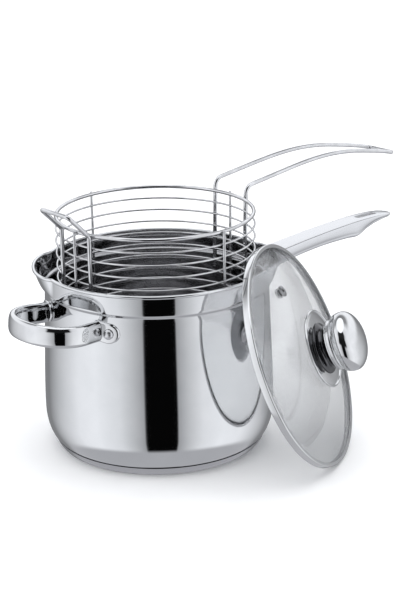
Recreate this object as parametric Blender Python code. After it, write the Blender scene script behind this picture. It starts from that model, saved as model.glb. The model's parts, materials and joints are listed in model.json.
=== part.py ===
"""Deep fry pot with a wire frying basket and a glass lid that leans on the pot.

Metres, +Z up. The origin is the centre of the pot's flat underside on the floor,
and +X runs along the long handle. The small side handle points to -X.
"""

import math

import bmesh
import bpy
from mathutils import Matrix, Vector

# Clearance between two pieces that touch
GAP = 0.0003

# Pot body: a turned steel shell with a belly, a collar and a rolled rim
WALL = 0.0010
BELLY_SWELL = 0.0043
BELLY_HEIGHT = 0.045
BELLY_ROUNDING = 0.2
NECK_HEIGHT = 0.1595
CORNER_WIDTH = 0.0155
CORNER_HEIGHT = 0.0340
COLLAR_RADIUS = 0.1115
COLLAR_STEP = 0.0023
COLLAR_HEIGHT = 0.0195
STEP_RISE = 0.0040
BEAD_RADIUS = 0.0017
POT_STEPS = 60

# Pouring lips in the collar
LIP_REACH = 0.0077
LIP_HALF_WIDTH = math.radians(23.0)
LIP_ANGLES = (math.radians(144.0), math.radians(-36.0))
LIP_FULLNESS = 3.0
LIP_ROUNDING = 0.6
LIP_RISE = 0.65

# Heat-spreading base: an aluminium core held by a thin steel cap
CAP_WALL = 0.0008
CORE_THICKNESS = 0.0041
CORE_INSET = 0.0170
CAP_HEIGHT = 0.0080
CAP_INSET = 0.0150
CAP_EDGE_ROUNDING = 0.0020
CAP_BULGE = 0.0004
BASE_STEPS = 48

# Side handle: a flattened tube bent into a loop, on two riveted lugs.
# The loop and the rivets hang below the neck
SIDES = {-1: "front", 1: "rear"}
TUBE_HALF_THICKNESS = 0.0042
TUBE_HALF_HEIGHT = 0.0100
TUBE_WALL = 0.0010
LOOP_BELOW_NECK = 0.0140
LOOP_TILT_RISE = 0.0045
LOOP_LENGTH = 0.0512
LOOP_STRAIGHT = 0.0100
LOOP_HALF_WIDTH = 0.0450
LOOP_ROOT_HALF_WIDTH = 0.0386
LOOP_SQUARENESS = 2.2
LUG_THICKNESS = 0.0020
LUG_RADIUS = 0.0095
RIVET_SPREAD = 0.0480
RIVET_BELOW_NECK = 0.0155
RIVET_SHANK_RADIUS = 0.0025
RIVET_HEAD_RADIUS = 0.0050
RIVET_HEAD_HEIGHT = 0.0034
RIVET_TAIL_RADIUS = 0.0042
RIVET_TAIL_HEIGHT = 0.0010

# Two rivets hold the long handle's ferrule to the wall
FERRULE_RIVET_SPREAD = 0.0075
FERRULE_RIVET_BELOW_NECK = 0.0110
FERRULE_RIVET_LENGTH = 0.0080

# Long handle: hollow, flat on top, on a solid ferrule. Its top starts level with the neck
HANDLE_START = 0.152
HANDLE_LENGTH = 0.178
HANDLE_ABOVE_NECK = 0.0010
HANDLE_RISE = 0.0076
HANDLE_HALF_WIDTH = 0.0130
HANDLE_DEPTH = 0.0182
HANDLE_WALL = 0.0012
HANDLE_TOP_EDGE = 0.0014
HANDLE_LOW_EDGE = 0.0050
FERRULE_ROOT_HALF_WIDTH = 0.0150
FERRULE_ROOT_DEPTH = 0.0235
FERRULE_ROOT_DROP = 0.0020
FERRULE_TONGUE = 0.0220
SLOT_FROM_TIP = 0.0190
SLOT_LENGTH = 0.0305
SLOT_HALF_WIDTH = 0.0042
# Each station: how far along the length, and shares of the half width, the rise and the depth
HANDLE_STATIONS = (
    (0.000, 1.00, 0.00, 1.00),
    (0.112, 0.97, 0.20, 0.91),
    (0.270, 0.93, 0.50, 0.87),
    (0.438, 0.90, 0.75, 0.88),
    (0.607, 0.88, 0.93, 0.96),
    (0.702, 0.88, 1.00, 1.03),
    (0.781, 0.86, 1.00, 0.73),
    (0.871, 0.82, 0.94, 0.47),
    (0.938, 0.74, 0.82, 0.32),
    (0.980, 0.60, 0.70, 0.26),
    (1.000, 0.38, 0.62, 0.20),
)
HANDLE_BORE_STATIONS = 8

# Basket of round wire
BASKET_CLEARANCE = 0.0165
BASKET_DEPTH = 0.2242
RIM_WIRE = 0.0018
RING_WIRE = 0.0009
RIB_WIRE = 0.0013
GRIP_WIRE = 0.0021
RING_PITCH = 0.0121
RIB_BEND = 0.008
RIB_COUNT = 4
RIB_STUB = 0.0022
FLOOR_RING_INSET = 0.0100
FLOOR_RING_LAST = 0.0110
RING_SPACING = math.radians(16.5)
RING_SIDES = 4
RIM_SIDES = 6
GRIP_SIDES = 8
LEG_LENGTH = 0.081

# Hook on the front of the basket
HOOK_HALF_WIDTH = 0.0207
HOOK_OUT = 0.0230
HOOK_UP = 0.0228
HOOK_BEND = 0.0045

# Basket handle: distance beyond the legs and height above the basket's rim
BASKET_HANDLE_HALF_WIDTH = 0.0222
BASKET_HANDLE_TIP_HALF_WIDTH = 0.0168
BASKET_HANDLE_BEND = 0.0095
BASKET_HANDLE_TIP_BEND = 0.0065
BASKET_HANDLE_TAPER = 2.5
BASKET_HANDLE_ROUTE = (
    (0.0025, 0.0105),
    (0.0340, 0.0145),
    (0.0560, 0.0173),
    (0.0800, 0.0200),
    (0.1040, 0.0216),
    (0.1290, 0.0214),
    (0.1540, 0.0190),
    (0.1790, 0.0147),
    (0.2040, 0.0097),
    (0.2225, 0.0050),
)

# Glass lid, made about its own axis with the band's upper face at height zero
LID_RADIUS = 0.1100
BAND_HEIGHT = 0.0070
BAND_WALL = 0.0008
BAND_CHAMFER = 0.0005
BAND_LIP = 0.0038
GLASS_THICKNESS = 0.0040
GLASS_CROWN = 0.0215
GLASS_FLAT_EDGE = 0.0065
GLASS_CURVE = 2.1
KNOB_SEAT_RADIUS = 0.0130
LID_STEPS = 40
VENT_DISTANCE = 0.0700
VENT_ANGLE = math.radians(103.5)
VENT_FACET = (0.0620, 0.0780)
VENT_BORE = 0.0016
VENT_TUBE = 0.0030
VENT_FLANGE = 0.0056
VENT_FLANGE_THICKNESS = 0.0008

# Knob on the lid
KNOB_STEPS = 24
KNOB_BORE = 0.0030
SEAL_RADIUS = 0.0120
SEAL_THICKNESS = 0.0008
FLANGE_RADIUS = 0.0380
FLANGE_THICKNESS = 0.0010
FLANGE_DISH_RADIUS = 0.0265
FLANGE_DROP = 0.0014
STEM_FOOT_RADIUS = 0.0250
STEM_WAIST_RADIUS = 0.0195
STEM_TOP_RADIUS = 0.0230
STEM_HEIGHT = 0.0100
STEM_WALL = 0.0012
COLLAR_RING_RADIUS = 0.0242
COLLAR_RING_HEIGHT = 0.0042
COLLAR_GROOVE = 0.0006
BALL_RADIUS = 0.0287
BALL_HEIGHT = 0.0245
BALL_WALL = 0.0010
BALL_EQUATOR = 0.42
CORE_PLUG_RADIUS = 0.0100
SCREW_RADIUS = 0.0024
SCREW_HEAD_RADIUS = 0.0050
SCREW_HEAD_HEIGHT = 0.0026
SCREW_DEPTH = 0.0180
WASHER_RADIUS = 0.0100
WASHER_THICKNESS = 0.0010

# How the lid stands: it leans back on the pot's rim, with its band on the floor
LID_HEADING = math.radians(-60.3)
LID_LEAN = math.radians(22.3)
LID_SIDESTEP = -0.0104

# Radii and heights that follow from the sizes above
NECK_RADIUS = COLLAR_RADIUS - COLLAR_STEP
BELLY_RADIUS = NECK_RADIUS + BELLY_SWELL
CORE_RADIUS = BELLY_RADIUS - CORE_INSET
CAP_FOOT_RADIUS = BELLY_RADIUS - CAP_INSET
BASKET_RADIUS = COLLAR_RADIUS - BASKET_CLEARANCE
FLOOR_RING_FIRST = BASKET_RADIUS - FLOOR_RING_INSET
POT_UNDERSIDE = CAP_WALL + GAP + CORE_THICKNESS + GAP
POT_FLOOR = POT_UNDERSIDE + WALL
LOOP_HEIGHT = NECK_HEIGHT - LOOP_BELOW_NECK
RIVET_HEIGHT = NECK_HEIGHT - RIVET_BELOW_NECK
FERRULE_RIVET_HEIGHT = NECK_HEIGHT - FERRULE_RIVET_BELOW_NECK
HANDLE_TOP = NECK_HEIGHT + HANDLE_ABOVE_NECK
RIM_HEIGHT = NECK_HEIGHT + STEP_RISE + COLLAR_HEIGHT - BEAD_RADIUS
RIB_FLOOR = POT_FLOOR + GAP + RIB_WIRE
BASKET_RIM = POT_FLOOR + GAP + BASKET_DEPTH
WIRE_FACE = BASKET_RADIUS + RIM_WIRE
RING_RADIUS = WIRE_FACE - RING_WIRE
RIB_RADIUS = WIRE_FACE + GAP + RIB_WIRE
LEG_RADIUS = WIRE_FACE + GAP + GRIP_WIRE


def clear_scene():
    for item in list(bpy.data.objects):
        bpy.data.objects.remove(item, do_unlink=True)


def material(name, colour, roughness, metallic, transmission=0.0):
    made = bpy.data.materials.get(name)
    if made:
        return made
    made = bpy.data.materials.new(name)
    made.use_nodes = True
    shader = made.node_tree.nodes["Principled BSDF"]
    shader.inputs["Base Color"].default_value = (*colour, 1.0)
    shader.inputs["Roughness"].default_value = roughness
    shader.inputs["Metallic"].default_value = metallic
    shader.inputs["Transmission Weight"].default_value = transmission
    return made


def polished(name):
    return material(name, (0.78, 0.79, 0.80), 0.06, 1.0)


def satin(name):
    return material(name, (0.74, 0.75, 0.77), 0.28, 1.0)


def bright_wire(name):
    return material(name, (0.72, 0.72, 0.72), 0.18, 1.0)


def mesh_object(name, verts, faces, finish, parent=None):
    mesh = bpy.data.meshes.new(name)
    mesh.from_pydata([tuple(v) for v in verts], [], faces)
    tidy = bmesh.new()
    tidy.from_mesh(mesh)
    bmesh.ops.recalc_face_normals(tidy, faces=tidy.faces)
    tidy.to_mesh(mesh)
    tidy.free()
    mesh.shade_smooth()
    mesh.set_sharp_from_angle(angle=math.radians(35))
    item = bpy.data.objects.new(name, mesh)
    bpy.context.collection.objects.link(item)
    if finish:
        mesh.materials.append(finish)
    if parent:
        item.parent = parent
    return item


def empty(name, matrix=None):
    item = bpy.data.objects.new(name, None)
    bpy.context.collection.objects.link(item)
    if matrix:
        item.matrix_world = matrix
    return item


def as_cutter(item):
    item.hide_render = True
    item.display_type = "WIRE"
    return item


def cut(item, cutter, operation="DIFFERENCE"):
    change = item.modifiers.new(cutter.name, "BOOLEAN")
    change.operation = operation
    change.solver = "EXACT"
    change.object = cutter
    return item


def turned(name, profile, steps, finish, parent=None, reshape=None):
    """A profile of (radius, height) turned about Z. It is a closed loop, or runs axis to axis."""
    on_axis = profile[0][0] == 0.0 and profile[-1][0] == 0.0
    verts = []
    rows = []
    for radius, height in profile:
        if radius == 0.0:
            rows.append([len(verts)] * steps)
            verts.append((0.0, 0.0, height))
            continue
        row = []
        for step in range(steps):
            angle = 2.0 * math.pi * step / steps
            far = radius
            if reshape:
                far = reshape(angle, radius, height)
            row.append(len(verts))
            verts.append((far * math.cos(angle), far * math.sin(angle), height))
        rows.append(row)
    faces = []
    last = len(rows) - 1 if on_axis else len(rows)
    for index in range(last):
        low, high = rows[index], rows[(index + 1) % len(rows)]
        for step in range(steps):
            after = (step + 1) % steps
            corners = []
            for corner in (low[step], low[after], high[after], high[step]):
                if corner not in corners:
                    corners.append(corner)
            if len(corners) > 2:
                faces.append(corners)
    return mesh_object(name, verts, faces, finish, parent)


def arc(centre, radius, start, end, steps):
    """Points on an arc in a plane, both ends included. Angles are in degrees."""
    points = []
    for step in range(steps + 1):
        angle = math.radians(start + (end - start) * step / steps)
        points.append((centre[0] + radius * math.cos(angle), centre[1] + radius * math.sin(angle)))
    return points


def rounded_path(points, bend, steps=4):
    """A path of straight runs whose corners are arcs of the given radius."""
    path = [Vector(points[0])]
    for before, corner, after in zip(points, points[1:], points[2:]):
        corner = Vector(corner)
        towards = Vector(before) - corner
        away = Vector(after) - corner
        room = min(towards.length, away.length) * 0.49
        half = towards.angle(away) / 2.0
        if half > math.radians(86.0):
            path.append(corner)
            continue
        back = min(bend / math.tan(half), room)
        first = corner + towards.normalized() * back
        last = corner + away.normalized() * back
        radius = back * math.tan(half)
        inward = (towards.normalized() + away.normalized()).normalized()
        middle = corner + inward * (radius / math.sin(half))
        sweep = math.pi - 2.0 * half
        spoke = first - middle
        normal = spoke.cross(last - middle).normalized()
        for step in range(steps + 1):
            turn = Matrix.Rotation(sweep * step / steps, 3, normal)
            path.append(middle + turn @ spoke)
    path.append(Vector(points[-1]))
    return path


def tube(name, path, radius, sides, finish, closed=False, height=0.0, wall=0.0, parent=None):
    """A bar along a path, round or, with a height, oval. A wall makes it hollow and open-ended."""
    count = len(path)
    tangents = []
    for index in range(count):
        if closed:
            run = path[(index + 1) % count] - path[index - 1]
        else:
            run = path[min(index + 1, count - 1)] - path[max(index - 1, 0)]
        tangents.append(run.normalized())
    side = tangents[0].orthogonal().normalized()
    if abs(tangents[0].z) < 0.9:
        side = tangents[0].cross(Vector((0.0, 0.0, 1.0))).normalized()
    frames = []
    for index, tangent in enumerate(tangents):
        if index:
            side = (side - tangent * side.dot(tangent)).normalized()
        frames.append((side, tangent.cross(side)))
    verts = []
    height = height or radius

    def skin(inset):
        start = len(verts)
        for point, (across, up) in zip(path, frames):
            for step in range(sides):
                angle = 2.0 * math.pi * step / sides
                sideways = across * ((radius - inset) * math.cos(angle))
                verts.append(point + sideways + up * ((height - inset) * math.sin(angle)))
        return start

    faces = []
    starts = [skin(0.0)]
    if wall:
        starts.append(skin(wall))
    for start in starts:
        for index in range(count if closed else count - 1):
            here = start + index * sides
            there = start + ((index + 1) % count) * sides
            for step in range(sides):
                after = (step + 1) % sides
                faces.append([here + step, here + after, there + after, there + step])
    if not closed:
        for end in (0, (count - 1) * sides):
            if wall:
                for step in range(sides):
                    after = (step + 1) % sides
                    outer, inner = starts[0] + end, starts[1] + end
                    faces.append([outer + step, outer + after, inner + after, inner + step])
            else:
                faces.append([end + step for step in range(sides)])
    return mesh_object(name, verts, faces, finish, parent)


def ring_path(radius, height, angles):
    return [Vector((radius * math.cos(angle), radius * math.sin(angle), height)) for angle in angles]


def lofted(name, sections, finish, parent=None):
    """Sections of equal point count, joined in order and closed at both ends."""
    size = len(sections[0])
    verts = [point for section in sections for point in section]
    faces = [[step for step in range(size)]]
    faces.append([(len(sections) - 1) * size + step for step in range(size)])
    for index in range(len(sections) - 1):
        for step in range(size):
            after = (step + 1) % size
            here, there = index * size, (index + 1) * size
            faces.append([here + step, here + after, there + after, there + step])
    return mesh_object(name, verts, faces, finish, parent)


def prism(name, outline, low, high, place=None):
    """A cutter: an outline in a plane, drawn out between two heights."""
    sections = []
    for height in (low, high):
        section = [Vector((x, y, height)) for x, y in outline]
        if place:
            section = [place @ point for point in section]
        sections.append(section)
    return as_cutter(lofted(name, sections, None))


# Pot body

def body_radius(height):
    """Outer radius of the wall between the corner and the neck."""
    rise = abs(height - BELLY_HEIGHT) / (NECK_HEIGHT - BELLY_HEIGHT)
    full = math.hypot(1.0, BELLY_ROUNDING) - BELLY_ROUNDING
    eased = (math.hypot(rise, BELLY_ROUNDING) - BELLY_ROUNDING) / full
    return BELLY_RADIUS - (BELLY_RADIUS - NECK_RADIUS) * eased


CORNER_TOP = POT_UNDERSIDE + CORNER_HEIGHT
FLOOR_RADIUS = body_radius(CORNER_TOP) - CORNER_WIDTH


def corner_radius_at(height):
    """Outer radius of the corner between the underside and the wall, a quarter of an oval."""
    drop = (CORNER_TOP - height) / CORNER_HEIGHT
    return FLOOR_RADIUS + CORNER_WIDTH * math.sqrt(1.0 - drop ** 2)


def lip_factor(angle):
    """How far the rim is drawn out into a pouring lip, from 0 to 1, at an angle."""
    best = 0.0
    for centre in LIP_ANGLES:
        away = abs(math.remainder(angle - centre, 2.0 * math.pi)) / LIP_HALF_WIDTH
        if away < 1.0:
            best = max(best, (1.0 - away ** LIP_FULLNESS) ** LIP_ROUNDING)
    return best


def with_lips(angle, radius, height):
    base = NECK_HEIGHT + STEP_RISE
    if height <= base:
        return radius
    rise = min((height - base) / (RIM_HEIGHT - base), 1.0)
    return radius + LIP_REACH * lip_factor(angle) * rise ** LIP_RISE


def wall_profile(inset):
    """The body's outer line from the underside's corner up to the collar, moved in by the inset."""
    line = []
    for across, up in arc((0.0, 0.0), 1.0, -90.0, 0.0, 7):
        radius = FLOOR_RADIUS + (CORNER_WIDTH - inset) * across
        line.append((radius, CORNER_TOP + (CORNER_HEIGHT - inset) * up))
    for share in (0.12, 0.35, 0.6, 1.0):
        height = CORNER_TOP + (NECK_HEIGHT - CORNER_TOP) * share
        line.append((body_radius(height) - inset, height))
    for out, up in ((0.35, 0.25), (0.85, 0.55)):
        radius = NECK_RADIUS + (COLLAR_RADIUS - NECK_RADIUS) * out - inset
        line.append((radius, NECK_HEIGHT + STEP_RISE * up + inset * 0.5))
    line.append((COLLAR_RADIUS - inset, NECK_HEIGHT + STEP_RISE))
    line.append((COLLAR_RADIUS - inset, (NECK_HEIGHT + STEP_RISE + RIM_HEIGHT) / 2.0))
    return line


def pot_body():
    bead_centre = (COLLAR_RADIUS - 0.0001, RIM_HEIGHT)
    outer = [(0.0, POT_UNDERSIDE)] + wall_profile(0.0)
    bead = arc(bead_centre, BEAD_RADIUS, -75.0, 135.0, 6)
    inner = list(reversed(wall_profile(WALL))) + [(0.0, POT_FLOOR)]
    profile = outer + bead + inner
    body = turned("pot_body", profile, POT_STEPS, polished("pot_steel"), reshape=with_lips)
    for side, place in SIDES.items():
        cut(body, rivet_hole("body_hole_" + place, rivet_frame(side)))
        cut(body, rivet_hole("body_ferrule_hole_" + place, ferrule_rivet_frame(side)))
    return body


def pot_guide(name, stand_off):
    """A cutter with the body's outer shape, grown by a stand-off."""
    line = [(radius + stand_off, height) for radius, height in wall_profile(0.0)]
    top = RIM_HEIGHT + 0.02
    profile = [(0.0, -0.01), (line[0][0], -0.01)] + line[1:-1]
    profile += [(COLLAR_RADIUS + stand_off, top), (0.0, top)]
    return as_cutter(turned(name, profile, POT_STEPS, None, reshape=with_lips))


# Base

def base():
    core_low = CAP_WALL + GAP
    core_high = core_low + CORE_THICKNESS
    profile = [(0.0, core_low), (CORE_RADIUS, core_low), (CORE_RADIUS, core_high), (0.0, core_high)]
    turned("base_core", profile, BASE_STEPS, material("base_aluminium", (0.75, 0.75, 0.76), 0.45, 1.0))
    top_inner = corner_radius_at(CAP_HEIGHT) + GAP
    top_outer = top_inner + CAP_WALL
    shoulder = CAP_FOOT_RADIUS + CAP_EDGE_ROUNDING
    middle = (shoulder + top_outer) / 2.0 + CAP_BULGE
    profile = [
        (0.0, 0.0),
        (CAP_FOOT_RADIUS, 0.0),
        (shoulder, CAP_EDGE_ROUNDING * 0.35),
        (middle, CAP_HEIGHT / 2.0),
        (top_outer, CAP_HEIGHT),
        (top_inner, CAP_HEIGHT),
        (middle - CAP_WALL, CAP_HEIGHT / 2.0 + CAP_WALL * 0.3),
        (shoulder - CAP_WALL * 0.5, CAP_EDGE_ROUNDING * 0.35 + CAP_WALL),
        (CAP_FOOT_RADIUS, CAP_WALL),
        (0.0, CAP_WALL),
    ]
    turned("base_cap", profile, BASE_STEPS, satin("base_steel"))


# Side handle

def wall_frame(angle, height):
    """A frame on the wall's outer face, with +Z pointing straight out of the wall."""
    outward = Vector((math.cos(angle), math.sin(angle), 0.0))
    seat = outward * body_radius(height) + Vector((0.0, 0.0, height))
    return Matrix.Translation(seat) @ outward.to_track_quat("Z", "Y").to_matrix().to_4x4()


def rivet_frame(side):
    return wall_frame(math.pi - side * math.asin(RIVET_SPREAD / body_radius(RIVET_HEIGHT)), RIVET_HEIGHT)


def ferrule_rivet_frame(side):
    """The two rivets are parallel, square to the middle of the ferrule's seat."""
    reach = math.sqrt(body_radius(FERRULE_RIVET_HEIGHT) ** 2 - FERRULE_RIVET_SPREAD ** 2)
    seat = Vector((reach, side * FERRULE_RIVET_SPREAD, FERRULE_RIVET_HEIGHT))
    return Matrix.Translation(seat) @ Matrix.Rotation(math.radians(90.0), 4, "Y")


def rivet_hole(name, place, depth=FERRULE_RIVET_LENGTH + GAP):
    outline = arc((0.0, 0.0), RIVET_SHANK_RADIUS + GAP, 0.0, 330.0, 11)
    return prism(name, outline, -depth, depth, place)


def loop_path():
    """Centre line of the tube, from the front lug round to the rear lug."""
    wall = body_radius(LOOP_HEIGHT)
    bow = LOOP_LENGTH - LOOP_STRAIGHT
    outline = [(-LOOP_STRAIGHT, LOOP_HALF_WIDTH), (0.0, LOOP_HALF_WIDTH)]
    steps = 9
    for step in range(steps + 1):
        turn = math.radians(90.0 - 90.0 * step / steps)
        reach = LOOP_STRAIGHT + bow * math.cos(turn) ** (2.0 / LOOP_SQUARENESS)
        outline.append((reach, LOOP_HALF_WIDTH * math.sin(turn) ** (2.0 / LOOP_SQUARENESS)))
    path = []
    for reach, half in outline:
        share = min(reach / LOOP_LENGTH, 1.0)
        half -= (LOOP_HALF_WIDTH - LOOP_ROOT_HALF_WIDTH) * (1.0 - max(share, 0.0)) ** 2
        path.append(Vector((-wall - reach, half, LOOP_HEIGHT + LOOP_TILT_RISE * share)))
    mirrored = [Vector((point.x, -point.y, point.z)) for point in reversed(path[:-1])]
    return path + mirrored


def lug(side):
    """A plate on the wall, long enough for the tube's end and the rivet."""
    wall = body_radius(LOOP_HEIGHT)
    outline = arc((LOOP_HEIGHT, LOOP_ROOT_HALF_WIDTH), LUG_RADIUS, 180.0, 360.0, 7)
    outline += arc((RIVET_HEIGHT, RIVET_SPREAD), LUG_RADIUS, 0.0, 180.0, 7)
    sections = []
    for x in (-wall + 3.0 * LUG_RADIUS, -wall - LUG_RADIUS):
        sections.append([Vector((x, side * across, height)) for height, across in outline])
    plate = lofted("side_handle_lug_" + SIDES[side], sections, polished("lug_steel"))
    cut(plate, bpy.data.objects["guide_wall"])
    cut(plate, bpy.data.objects["guide_lug_face"], "INTERSECT")
    cut(plate, rivet_hole("lug_hole_" + SIDES[side], rivet_frame(side)))


def side_handle():
    loop = tube("side_handle_tube", loop_path(), TUBE_HALF_THICKNESS, 16, polished("tube_steel"),
                height=TUBE_HALF_HEIGHT, wall=TUBE_WALL)
    cut(loop, bpy.data.objects["guide_tube_end"])
    for side in SIDES:
        lug(side)
    shank_in = -WALL - GAP
    head_seat = LUG_THICKNESS + 3.0 * GAP
    profile = [
        (0.0, shank_in - GAP - RIVET_TAIL_HEIGHT),
        (RIVET_TAIL_RADIUS, shank_in - GAP - RIVET_TAIL_HEIGHT),
        (RIVET_TAIL_RADIUS, shank_in - GAP),
        (RIVET_SHANK_RADIUS, shank_in - GAP),
        (RIVET_SHANK_RADIUS, head_seat),
        (RIVET_HEAD_RADIUS, head_seat),
        (RIVET_HEAD_RADIUS * 0.93, head_seat + RIVET_HEAD_HEIGHT * 0.45),
        (RIVET_HEAD_RADIUS * 0.62, head_seat + RIVET_HEAD_HEIGHT * 0.85),
        (0.0, head_seat + RIVET_HEAD_HEIGHT),
    ]
    for side, place in SIDES.items():
        rivet = turned("side_handle_rivet_" + place, profile, 12, polished("rivet_steel"))
        rivet.data.transform(rivet_frame(side))


# Long handle

def handle_section(x, half, top, low, shrink=0.0):
    """A flat-topped section with tight upper edges and round lower ones."""
    half, top, low = half - shrink, top - shrink, low + shrink
    tight = min(HANDLE_TOP_EDGE, half * 0.4, (top - low) * 0.3)
    soft = min(HANDLE_LOW_EDGE, half * 0.6, (top - low) * 0.5)
    foot = half * 0.76
    right = [
        (half - tight, top),
        (half, top - tight),
        (half - (half - foot) * 0.25, (top + low) / 2.0),
        (foot, low + soft * 0.7),
        (foot - soft * 0.45, low + soft * 0.16),
        (foot - soft, low),
    ]
    ring = right + [(-y, z) for y, z in reversed(right)]
    return [Vector((x, y, z)) for y, z in ring]


def handle_station(along, half, rise, depth):
    """Distance from the axis, half width, top height and underside height at one station."""
    top = HANDLE_TOP + HANDLE_RISE * rise
    far = HANDLE_START + HANDLE_LENGTH * along
    return far, HANDLE_HALF_WIDTH * half, top, top - HANDLE_DEPTH * depth


def long_handle():
    steel = satin("handle_steel")
    stations = [handle_station(*shares) for shares in HANDLE_STATIONS]
    shell = lofted("long_handle", [handle_section(*station) for station in stations], steel)
    bore = [handle_section(*station, shrink=HANDLE_WALL) for station in stations[:HANDLE_BORE_STATIONS]]
    mouth = [point - Vector((FERRULE_TONGUE, 0.0, 0.0)) for point in bore[0]]
    cut(shell, as_cutter(lofted("handle_bore", [mouth] + bore, None)))
    slot_end = HANDLE_START + HANDLE_LENGTH - SLOT_FROM_TIP
    outline = arc((slot_end - SLOT_LENGTH + SLOT_HALF_WIDTH, 0.0), SLOT_HALF_WIDTH, 90.0, 270.0, 6)
    outline += arc((slot_end - SLOT_HALF_WIDTH, 0.0), SLOT_HALF_WIDTH, -90.0, 90.0, 6)
    low, high = HANDLE_TOP - 2.0 * HANDLE_DEPTH, HANDLE_TOP + 2.0 * HANDLE_RISE
    cut(shell, prism("handle_slot", outline, low, high))

    root, after = Vector(stations[0]), Vector(stations[1])
    wall_top = HANDLE_TOP - FERRULE_ROOT_DROP
    seat = Vector((NECK_RADIUS - FERRULE_ROOT_HALF_WIDTH, FERRULE_ROOT_HALF_WIDTH, wall_top,
                   wall_top - FERRULE_ROOT_DEPTH))
    end = Vector((HANDLE_START - GAP, *root[1:]))
    tongue_end = root.lerp(after, FERRULE_TONGUE / (after[0] - root[0]))
    fit = HANDLE_WALL + GAP
    sections = [handle_section(*seat), handle_section(*seat.lerp(end, 0.5)), handle_section(*end)]
    sections += [handle_section(*end, shrink=fit), handle_section(*tongue_end, shrink=fit)]
    ferrule = lofted("long_handle_ferrule", sections, polished("ferrule_steel"))
    cut(ferrule, bpy.data.objects["guide_wall"])
    tail = -WALL - GAP - GAP
    profile = [
        (0.0, tail - RIVET_HEAD_HEIGHT * 0.5),
        (RIVET_HEAD_RADIUS * 0.6, tail - RIVET_HEAD_HEIGHT * 0.42),
        (RIVET_HEAD_RADIUS * 0.9, tail - RIVET_HEAD_HEIGHT * 0.2),
        (RIVET_HEAD_RADIUS * 0.9, tail),
        (RIVET_SHANK_RADIUS, tail),
        (RIVET_SHANK_RADIUS, FERRULE_RIVET_LENGTH),
        (0.0, FERRULE_RIVET_LENGTH),
    ]
    for side, place in SIDES.items():
        cut(ferrule, rivet_hole("ferrule_hole_" + place, ferrule_rivet_frame(side)))
        rivet = turned("long_handle_rivet_" + place, profile, 12, polished("rivet_steel"))
        rivet.data.transform(ferrule_rivet_frame(side))


# Basket

def leg_reach(half_width):
    return math.sqrt(LEG_RADIUS ** 2 - half_width ** 2)


def ring_angles():
    """Angles round a ring: one at each wire that is welded to it, the rest spread between them."""
    welds = [math.pi * quarter / 2.0 for quarter in range(4)]
    handle = math.atan2(BASKET_HANDLE_HALF_WIDTH, leg_reach(BASKET_HANDLE_HALF_WIDTH))
    hook = math.atan2(HOOK_HALF_WIDTH, leg_reach(HOOK_HALF_WIDTH))
    welds += [handle, 2.0 * math.pi - handle, math.pi - hook, math.pi + hook]
    welds.sort()
    angles = []
    for here, there in zip(welds, welds[1:] + [2.0 * math.pi]):
        count = math.ceil((there - here) / RING_SPACING)
        angles += [here + (there - here) * step / count for step in range(count)]
    return angles


def basket():
    frame = empty("basket_axis")
    ring_steel = bright_wire("basket_ring_wire")
    angles = ring_angles()
    tube("basket_rim", ring_path(BASKET_RADIUS, BASKET_RIM, angles), RIM_WIRE, RIM_SIDES,
         bright_wire("basket_rim_wire"), closed=True, parent=frame)
    count = int((BASKET_RIM - RIB_FLOOR - RIB_BEND) / RING_PITCH)
    for index in range(count):
        path = ring_path(RING_RADIUS, BASKET_RIM - RING_PITCH * (index + 1), angles)
        tube("basket_side_ring_%02d" % (index + 1), path, RING_WIRE, RING_SIDES, ring_steel, closed=True,
             parent=frame)
    floor_height = RIB_FLOOR + RIB_WIRE + GAP + RING_WIRE
    count = int((FLOOR_RING_FIRST - FLOOR_RING_LAST) / RING_PITCH) + 1
    for index in range(count):
        radius = FLOOR_RING_FIRST - RING_PITCH * index
        steps = 4 * max(3, round(6.0 * radius / BASKET_RADIUS))
        path = ring_path(radius, floor_height, [2.0 * math.pi * step / steps for step in range(steps)])
        tube("basket_floor_ring_%d" % (index + 1), path, RING_WIRE, RING_SIDES, ring_steel, closed=True,
             parent=frame)
    line = [(RIB_RADIUS, 0.0, BASKET_RIM + RIB_STUB), (RIB_RADIUS, 0.0, RIB_FLOOR),
            (FLOOR_RING_LAST * 0.9, 0.0, RIB_FLOOR)]
    for index in range(RIB_COUNT):
        turn = Matrix.Rotation(2.0 * math.pi * index / RIB_COUNT, 3, "Z")
        path = [turn @ point for point in rounded_path(line, RIB_BEND)]
        tube("basket_rib_%d" % (index + 1), path, RIB_WIRE, 6, bright_wire("basket_rib_wire"), parent=frame)
    basket_hook(frame)
    basket_handle(frame)
    return frame


def basket_hook(frame):
    reach = leg_reach(HOOK_HALF_WIDTH)
    foot = BASKET_RIM - LEG_LENGTH
    points = []
    for side in (1, -1):
        leg = [
            (-reach, side * HOOK_HALF_WIDTH, foot),
            (-reach, side * HOOK_HALF_WIDTH, BASKET_RIM),
            (-reach - HOOK_OUT, side * HOOK_HALF_WIDTH, BASKET_RIM + HOOK_UP),
        ]
        points += leg if side > 0 else list(reversed(leg))
    tube("basket_hook", rounded_path(points, HOOK_BEND), GRIP_WIRE, GRIP_SIDES, bright_wire("hook_wire"),
         parent=frame)


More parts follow.
